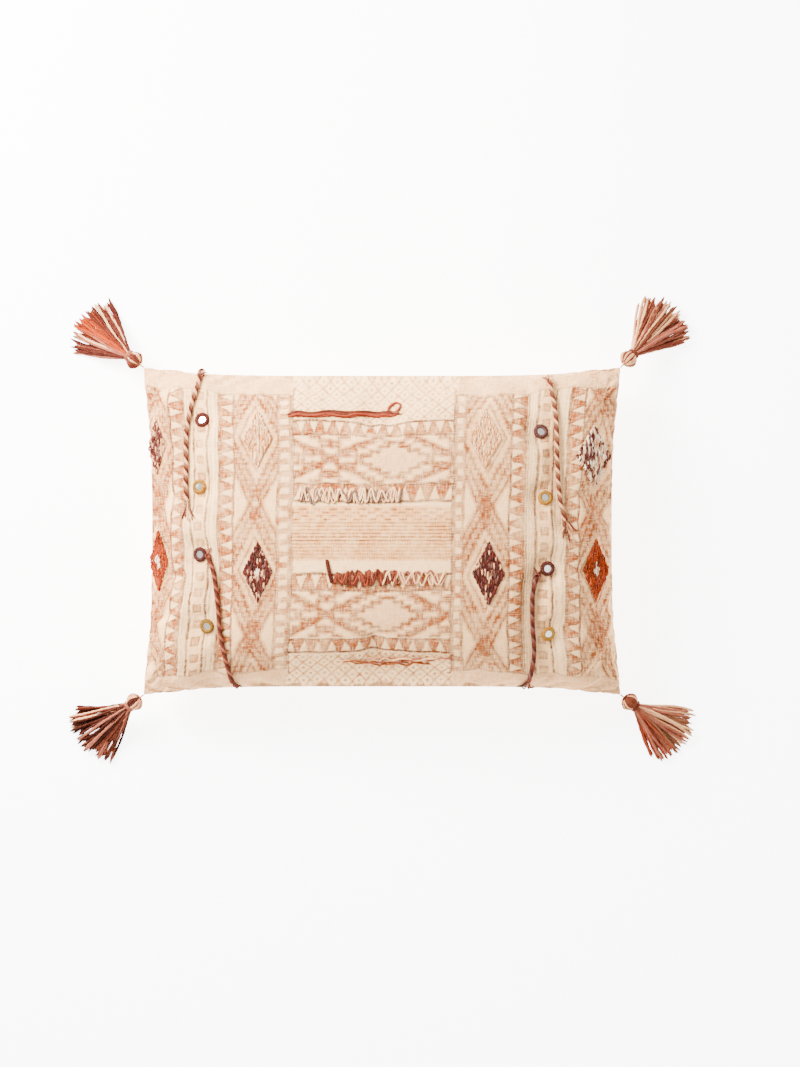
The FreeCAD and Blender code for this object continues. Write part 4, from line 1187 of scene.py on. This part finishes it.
def cord_ends(name, material, rng):
    """The knot that holds a cord and the loose yarns at both its ends."""
    points = CORD_ROUTES[name]
    palette = [(colour, 1) for colour in CORD_LOOKS[name]]
    strands = []
    x, y, _ = points[0]
    for i in range(5):
        turn = i * 1.3
        way_round = np.linspace(0, 5.2, 9)
        ring = [(x + 3.0 * math.cos(a + turn), y + 2.6 * math.sin(a + turn)) for a in way_round]
        heights = [1.6 + 1.6 * (1 + math.sin(a * 1.5 + turn)) for a in way_round]
        strands.append(dyed(smooth_path(laid(ring, heights), 24), 0.95, palette, rng))
    for end, beside, count, reach in ((0, 1, 6, 9), (-1, -2, 9, 20)):
        (x, y, _), (bx, by, _) = points[end], points[beside]
        way = math.atan2(y - by, x - bx)
        for i in range(count):
            turn = way + rng.uniform(-0.55, 0.55)
            far = reach * rng.uniform(0.55, 1.15)
            line = [
                (x - 2 * math.cos(way), y - 2 * math.sin(way)),
                (x + far * 0.45 * math.cos(turn), y + far * 0.45 * math.sin(turn)),
                (x + far * math.cos(turn + rng.uniform(-0.3, 0.3)), y + far * math.sin(turn)),
            ]
            path = smooth_path(laid(line, (3.2, 2.0, 0.9)), 10)
            strands.append(dyed(path, 0.8, palette, rng))
    return placed(yarns(f"cord_ends_{name}", strands, material, 330), "cushion", slot=SLOTS[f"cord_{name}"])


# ---------------------------------------------------------------- tassels

# Colours with their shares: the head, then the skirt's left, middle and right as it points away.
TASSEL_LOOKS = {
    "upper_left": (
        [(YARN_CREAM, 3), (RUST, 2), (BURGUNDY, 3)],
        [(BURGUNDY, 6), (PINK, 3), (YARN_CREAM, 2)],
        [(ORANGE, 4), (DEEP_ORANGE, 5), (BURGUNDY, 1)],
        [(BURGUNDY, 5), (PINK, 2), (YARN_CREAM, 3)],
    ),
    "upper_right": (
        [(RUST, 3), (YARN_CREAM, 3), (TAN, 2)],
        [(BRICK, 4), (PINK, 3), (YARN_CREAM, 3)],
        [(PINK, 4), (YARN_CREAM, 5), (BRICK, 2)],
        [(PINK, 5), (RUST, 3), (YARN_CREAM, 2)],
    ),
    "lower_left": (
        [(PINK, 3), (MAROON, 3), (YARN_CREAM, 2)],
        [(BRICK, 5), (PINK, 3), (MAROON, 3)],
        [(MAROON, 6), (BURGUNDY, 4), (PINK, 2)],
        [(MAROON, 6), (RUST, 3), (YARN_CREAM, 2)],
    ),
    "lower_right": (
        [(BRICK, 5), (YARN_CREAM, 2), (PINK, 1)],
        [(TAN, 4), (PINK, 3), (YARN_CREAM, 3)],
        [(TAN, 4), (PINK, 3), (YARN_CREAM, 4)],
        [(CORAL, 5), (TAN, 3), (PINK, 2)],
    ),
}
NECK_COLOURS = {"upper_left": TAN, "upper_right": RUST, "lower_left": PINK, "lower_right": BRICK}
SKIRT_STRANDS = 74
SKIRT_HALF_ANGLE = math.radians(31)


def tassel_axes(name):
    """Where a tassel's loop is, the unit direction along the tassel, and the two across it."""
    loop = np.array(middle_of(f"tassel_loop_{name}"))
    wrap = np.array(middle_of(f"tassel_wrap_{name}"))
    along = wrap - loop
    along /= np.linalg.norm(along)
    across = np.cross((0.0, 0.0, 1.0), along)
    across /= np.linalg.norm(across)
    return loop, wrap, along, across, np.cross(along, across)


def tassel_head(name, material, rng):
    """Yarns folded over the loop and bound at the neck."""
    _, _, along, across, up = tassel_axes(name)
    low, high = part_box(f"tassel_head_{name}")
    centre = np.array((low + high) / 2)
    palette = TASSEL_LOOKS[name][0]
    strands = []
    half = 8.0
    for i in range(30):
        turn = 2 * math.pi * i / 30 + rng.uniform(-0.05, 0.05)
        way = math.cos(turn) * across + math.sin(turn) * up
        line = []
        for t in np.linspace(0.06, 0.86, 9):
            bulge = math.sin(math.pi * t) ** 0.75
            reach = (7.9 * bulge + 0.6) if t < 0.5 else max(3.4, 7.9 * bulge)
            reach *= rng.uniform(0.97, 1.03)
            line.append(centre + along * (2 * t - 1) * half * MM + way * reach * MM)
        strands.append(dyed(smooth_path(line, 16), 1.15, palette, rng))
    for i in range(7):
        turn = 2 * math.pi * i / 7
        way = math.cos(turn) * across + math.sin(turn) * up
        line = [centre + MM * (way * a - along * b) for a, b in ((1.6, 6.6), (0, 7.9), (-1.6, 6.6))]
        strands.append(dyed(smooth_path(line, 6), 1.1, palette, rng))
    piece = yarns(f"tassel_crown_{name}", strands, material, 300)
    placed(piece, f"tassel_{name}", f"tassel_head_{name}")


def tassel_neck(name, material, rng):
    """A yarn wound several times round the neck."""
    _, wrap, along, across, up = tassel_axes(name)
    turns = np.linspace(0, 2 * math.pi * 4, 120)
    reach = 5.2 + 0.25 * np.sin(turns * 0.5 + 1)
    path = wrap + along * ((turns / turns[-1] - 0.5) * 4.6 * MM)[:, None] + MM * (
        (reach * np.cos(turns))[:, None] * across + (reach * np.sin(turns))[:, None] * up
    )
    piece = yarns(f"tassel_neck_{name}", [(path, 1.0 * MM, varied(NECK_COLOURS[name], rng))], material, 300)
    placed(piece, f"tassel_{name}", f"tassel_wrap_{name}")


def tassel_skirt(name, material, rng):
    """Loose yarns that fan out and lie down to the floor."""
    _, wrap, along, across, up = tassel_axes(name)
    level = along * (1, 1, 0)
    level /= np.linalg.norm(level)
    sideways = np.cross((0, 0, 1.0), level)
    groups = TASSEL_LOOKS[name][1:]
    strands = []
    neck = wrap + along * 1.0 * MM
    for i in range(SKIRT_STRANDS):
        spread = (i + 0.5) / SKIRT_STRANDS * 2 - 1
        spread += rng.uniform(-0.12, 0.12)
        layer = rng.random()
        angle = -spread * SKIRT_HALF_ANGLE
        length = (70 + rng.uniform(-9, 2) - 7 * spread**2) * MM
        way = math.cos(angle) * level + math.sin(angle) * sideways
        start = neck + across * (-spread * 2.6 * MM) + up * ((layer - 0.5) * 5.0 * MM)
        floor = (1.5 + layer * 8.5 * (1 - 0.35 * spread**2)) * MM
        sway, phase = rng.uniform(0.8, 3.0) * MM, rng.uniform(0, 6.3)
        line = []
        for t in np.linspace(0, 1, 9):
            run = length * math.cos(math.radians(18)) * t
            fall = 1 - (1 - t) ** 1.7
            place = start + way * run + sideways * (sway * math.sin(phase + 5 * t) * t)
            belly = 6.0 * MM * math.sin(math.pi * min(1.0, t * 1.15)) * layer * (1 - spread**2)
            place[2] = start[2] + (floor - start[2]) * fall + belly
            line.append(place)
        group = int(np.clip((spread + 1) * 1.4985, 0, 2))
        strands.append(dyed(smooth_path(line, 20), 1.35, groups[group], rng))
    piece = yarns(f"tassel_strands_{name}", strands, material, 190, 0.18)
    placed(piece, f"tassel_{name}", f"tassel_skirt_{name}")


def tassel_loop(name, material, rng):
    """Two yarns twisted into the loop that holds a tassel on its corner."""
    loop, _, along, across, up = tassel_axes(name)
    turns = np.linspace(0, 2 * math.pi, 49)
    strands = []
    for phase, colour in ((0, YARN_CREAM), (math.pi, PINK)):
        reach = (1.8 + 0.35 * np.cos(turns * 6 + phase)) * MM
        height = 0.35 * np.sin(turns * 6 + phase) * MM
        path = loop + np.outer(reach * np.cos(turns), along) + np.outer(reach * np.sin(turns), up)
        path += np.outer(height, across)
        strands.append((path, 0.5 * MM, varied(colour, rng)))
    placed(yarns(f"tassel_tie_{name}", strands, material, 300), f"loop_{name}", f"tassel_loop_{name}")


# ---------------------------------------------------------------- zip


def zip_coil(node, material):
    """A row of the zip as a coil of nylon."""
    low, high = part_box(node)
    pitch = 1.5 * MM
    turns = int((high.x - low.x) / pitch)
    angle = np.linspace(0, 2 * math.pi * turns, turns * 9)
    centre = (low + high) / 2
    path = np.stack(
        [
            low.x + 0.4 * MM + angle / angle[-1] * (high.x - low.x - 0.8 * MM),
            centre.y + np.cos(angle) * 0.62 * MM,
            centre.z + np.sin(angle) * 0.42 * MM,
        ],
        axis=-1,
    )
    coil = yarns(f"{node}_coil", [(path, 0.24 * MM, linear(222, 205, 180))], material, 0, 0.0)
    placed(coil, "cushion", node, slot="zip_coil")


# ---------------------------------------------------------------- stage, light, camera


FLOOR_GLOW = 6.2  # a lit white table


def stage_and_light():
    floor_material = Shader("pale_floor", roughness=0.9, Emission_Strength=FLOOR_GLOW)
    cloud = floor_material.noise(3.0, 2.0)
    white = floor_material.tinted(cloud, 0.3, 0.7, 1.0, (0.93, 0.93, 0.93, 1), (0.95, 0.95, 0.95, 1))
    material = floor_material.finish(white, floor_material.noise(900.0, 2.0), 0.02, 0.05 * MM)
    reach = 6.0
    corners = reach * np.array([(-1.0, -1.0, 0.0), (1.0, -1.0, 0.0), (1.0, 1.0, 0.0), (-1.0, 1.0, 0.0)])
    floor = new_object("floor", mesh_from("floor", corners, [[0, 1, 2, 3]]), material)

    world = bpy.data.worlds.new("studio")
    bpy.context.scene.world = world
    world.use_nodes = True
    world.node_tree.nodes["Background"].inputs["Color"].default_value = (1.0, 0.985, 0.97, 1)
    world.node_tree.nodes["Background"].inputs["Strength"].default_value = 1.45

    def softbox(name, place, size, power, colour):
        light = bpy.data.lights.new(name, "AREA")
        light.shape = "RECTANGLE"
        light.size, light.size_y = size
        light.energy = power
        light.color = colour
        obj = bpy.data.objects.new(name, light)
        obj.location = place
        obj.rotation_euler = Vector(place).to_track_quat("Z", "Y").to_euler()
        bpy.context.collection.objects.link(obj)

    softbox("key", (-0.8, 0.72, 0.95), (0.7, 0.7), 118, (1.0, 0.985, 0.96))
    softbox("fill", (1.8, -1.2, 2.2), (2.0, 2.0), 22, (1.0, 0.95, 0.9))


# The view looks straight down. Its middle, and its height at the seam's level:
VIEW_MIDDLE = (18.5 * MM, -2.5 * MM)
VIEW_HEIGHT = 1095.8 * MM
VIEW_DISTANCE = 5.0


def camera():
    data = bpy.data.cameras.new("camera")
    data.sensor_fit = "VERTICAL"
    data.angle = 2 * math.atan(VIEW_HEIGHT / 2 / VIEW_DISTANCE)
    data.clip_end = 50
    obj = bpy.data.objects.new("camera", data)
    obj.location = (*VIEW_MIDDLE, SEAM_LEVEL + VIEW_DISTANCE)
    bpy.context.collection.objects.link(obj)
    bpy.context.scene.camera = obj


# ---------------------------------------------------------------- build

camera()
stage_and_light()
cloth_front = woven_material("printed_cloth", 1.15 * MM, slub=0.36, fade=0.22)
cloth_back = woven_material("plain_cloth", 1.15 * MM, slub=0.4)
yarn = yarn_material("wool_yarn")
thread = yarn_material("mercerised_thread", gloss=0.12, twist=0.6)

cover_front, cover_back = cover(cloth_front, cloth_back)
for piece, node in ((cover_front, "front_panel"), (cover_back, "back_panel")):
    placed(piece, "cushion", node)
FACE = surface_of(cover_front)
insert()

seed = random.Random(20)
for mirror_name in MIRROR_NAMES:
    stitched_ring(mirror_name, thread, seed)

PLUM_MIX = [(PLUM, 5), (DARK_PLUM, 3), (DUSTY_PLUM, 2), (YARN_CREAM, 1.6)]
ORANGE_MIX = [(ORANGE, 6), (DEEP_ORANGE, 3), (CORAL, 1)]
CREAM_MIX = [(CREAM, 4), (YARN_CREAM, 3), (PEACH, 2)]
LEFT_MIX = [(PLUM, 4), (DUSTY_PLUM, 3), (YARN_CREAM, 3)]
RIGHT_MIX = [(IVORY, 4), (YARN_CREAM, 2), (DUSTY_PLUM, 2), (PLUM, 3)]
for place, mix, heart in (
    ("left_upper", LEFT_MIX, 0.0),
    ("left_lower", ORANGE_MIX, 0.26),
    ("middle_left", PLUM_MIX, 0.24),
    ("middle_right", PLUM_MIX, 0.0),
    ("right_upper", RIGHT_MIX, 0.0),
    ("right_lower", ORANGE_MIX, 0.28),
):
    shaggy_lozenge(f"stitches_{place}", f"lozenge_{place}", mix, yarn, seed, heart)
shaggy_lozenge("stitches_cream_left", None, CREAM_MIX, yarn, seed, 0, 0.8, (-126.0, 93.0), (28.0, 58.0))
shaggy_lozenge("stitches_cream_right", None, CREAM_MIX, yarn, seed, 0, 0.9, (105.0, 93.0), (32.0, 60.0))
fringes(yarn, seed)
for cord_name in CORD_ROUTES:
    twisted_cord(cord_name, yarn, seed)
for tassel_name in TASSEL_LOOKS:
    tassel_loop(tassel_name, yarn, seed)
    tassel_head(tassel_name, yarn, seed)
    tassel_neck(tassel_name, yarn, seed)
    tassel_skirt(tassel_name, yarn, seed)

nylon = Shader("nylon_coil", roughness=0.45)
nylon_tone = nylon.tinted(nylon.noise(500.0), 0.3, 0.7, 0.35, seen(224, 206, 180), seen(196, 174, 146))
nylon_coil = nylon.finish(nylon_tone, nylon.noise(900.0), 0.1, 0.1 * MM)
for row_node in ("zip_row_front", "zip_row_back"):
    zip_coil(row_node, nylon_coil)

carried = {
    "zip_tape": plain_cloth_material("tape_weave", seen(214, 196, 170)),
    "zip_metal": metal_material("antique_brass", seen(196, 160, 96), seen(120, 88, 48)),
    "label": plain_cloth_material("label_satin", seen(244, 242, 236), 1500.0),
    "mirror": mirror_material("silvered_glass", seen(214, 208, 198)),
}
for node, slot in SLOTS.items():
    if slot in carried:
        mesh = frame["nodes"][node].data
        mesh.materials.clear()
        mesh.materials.append(carried[slot])
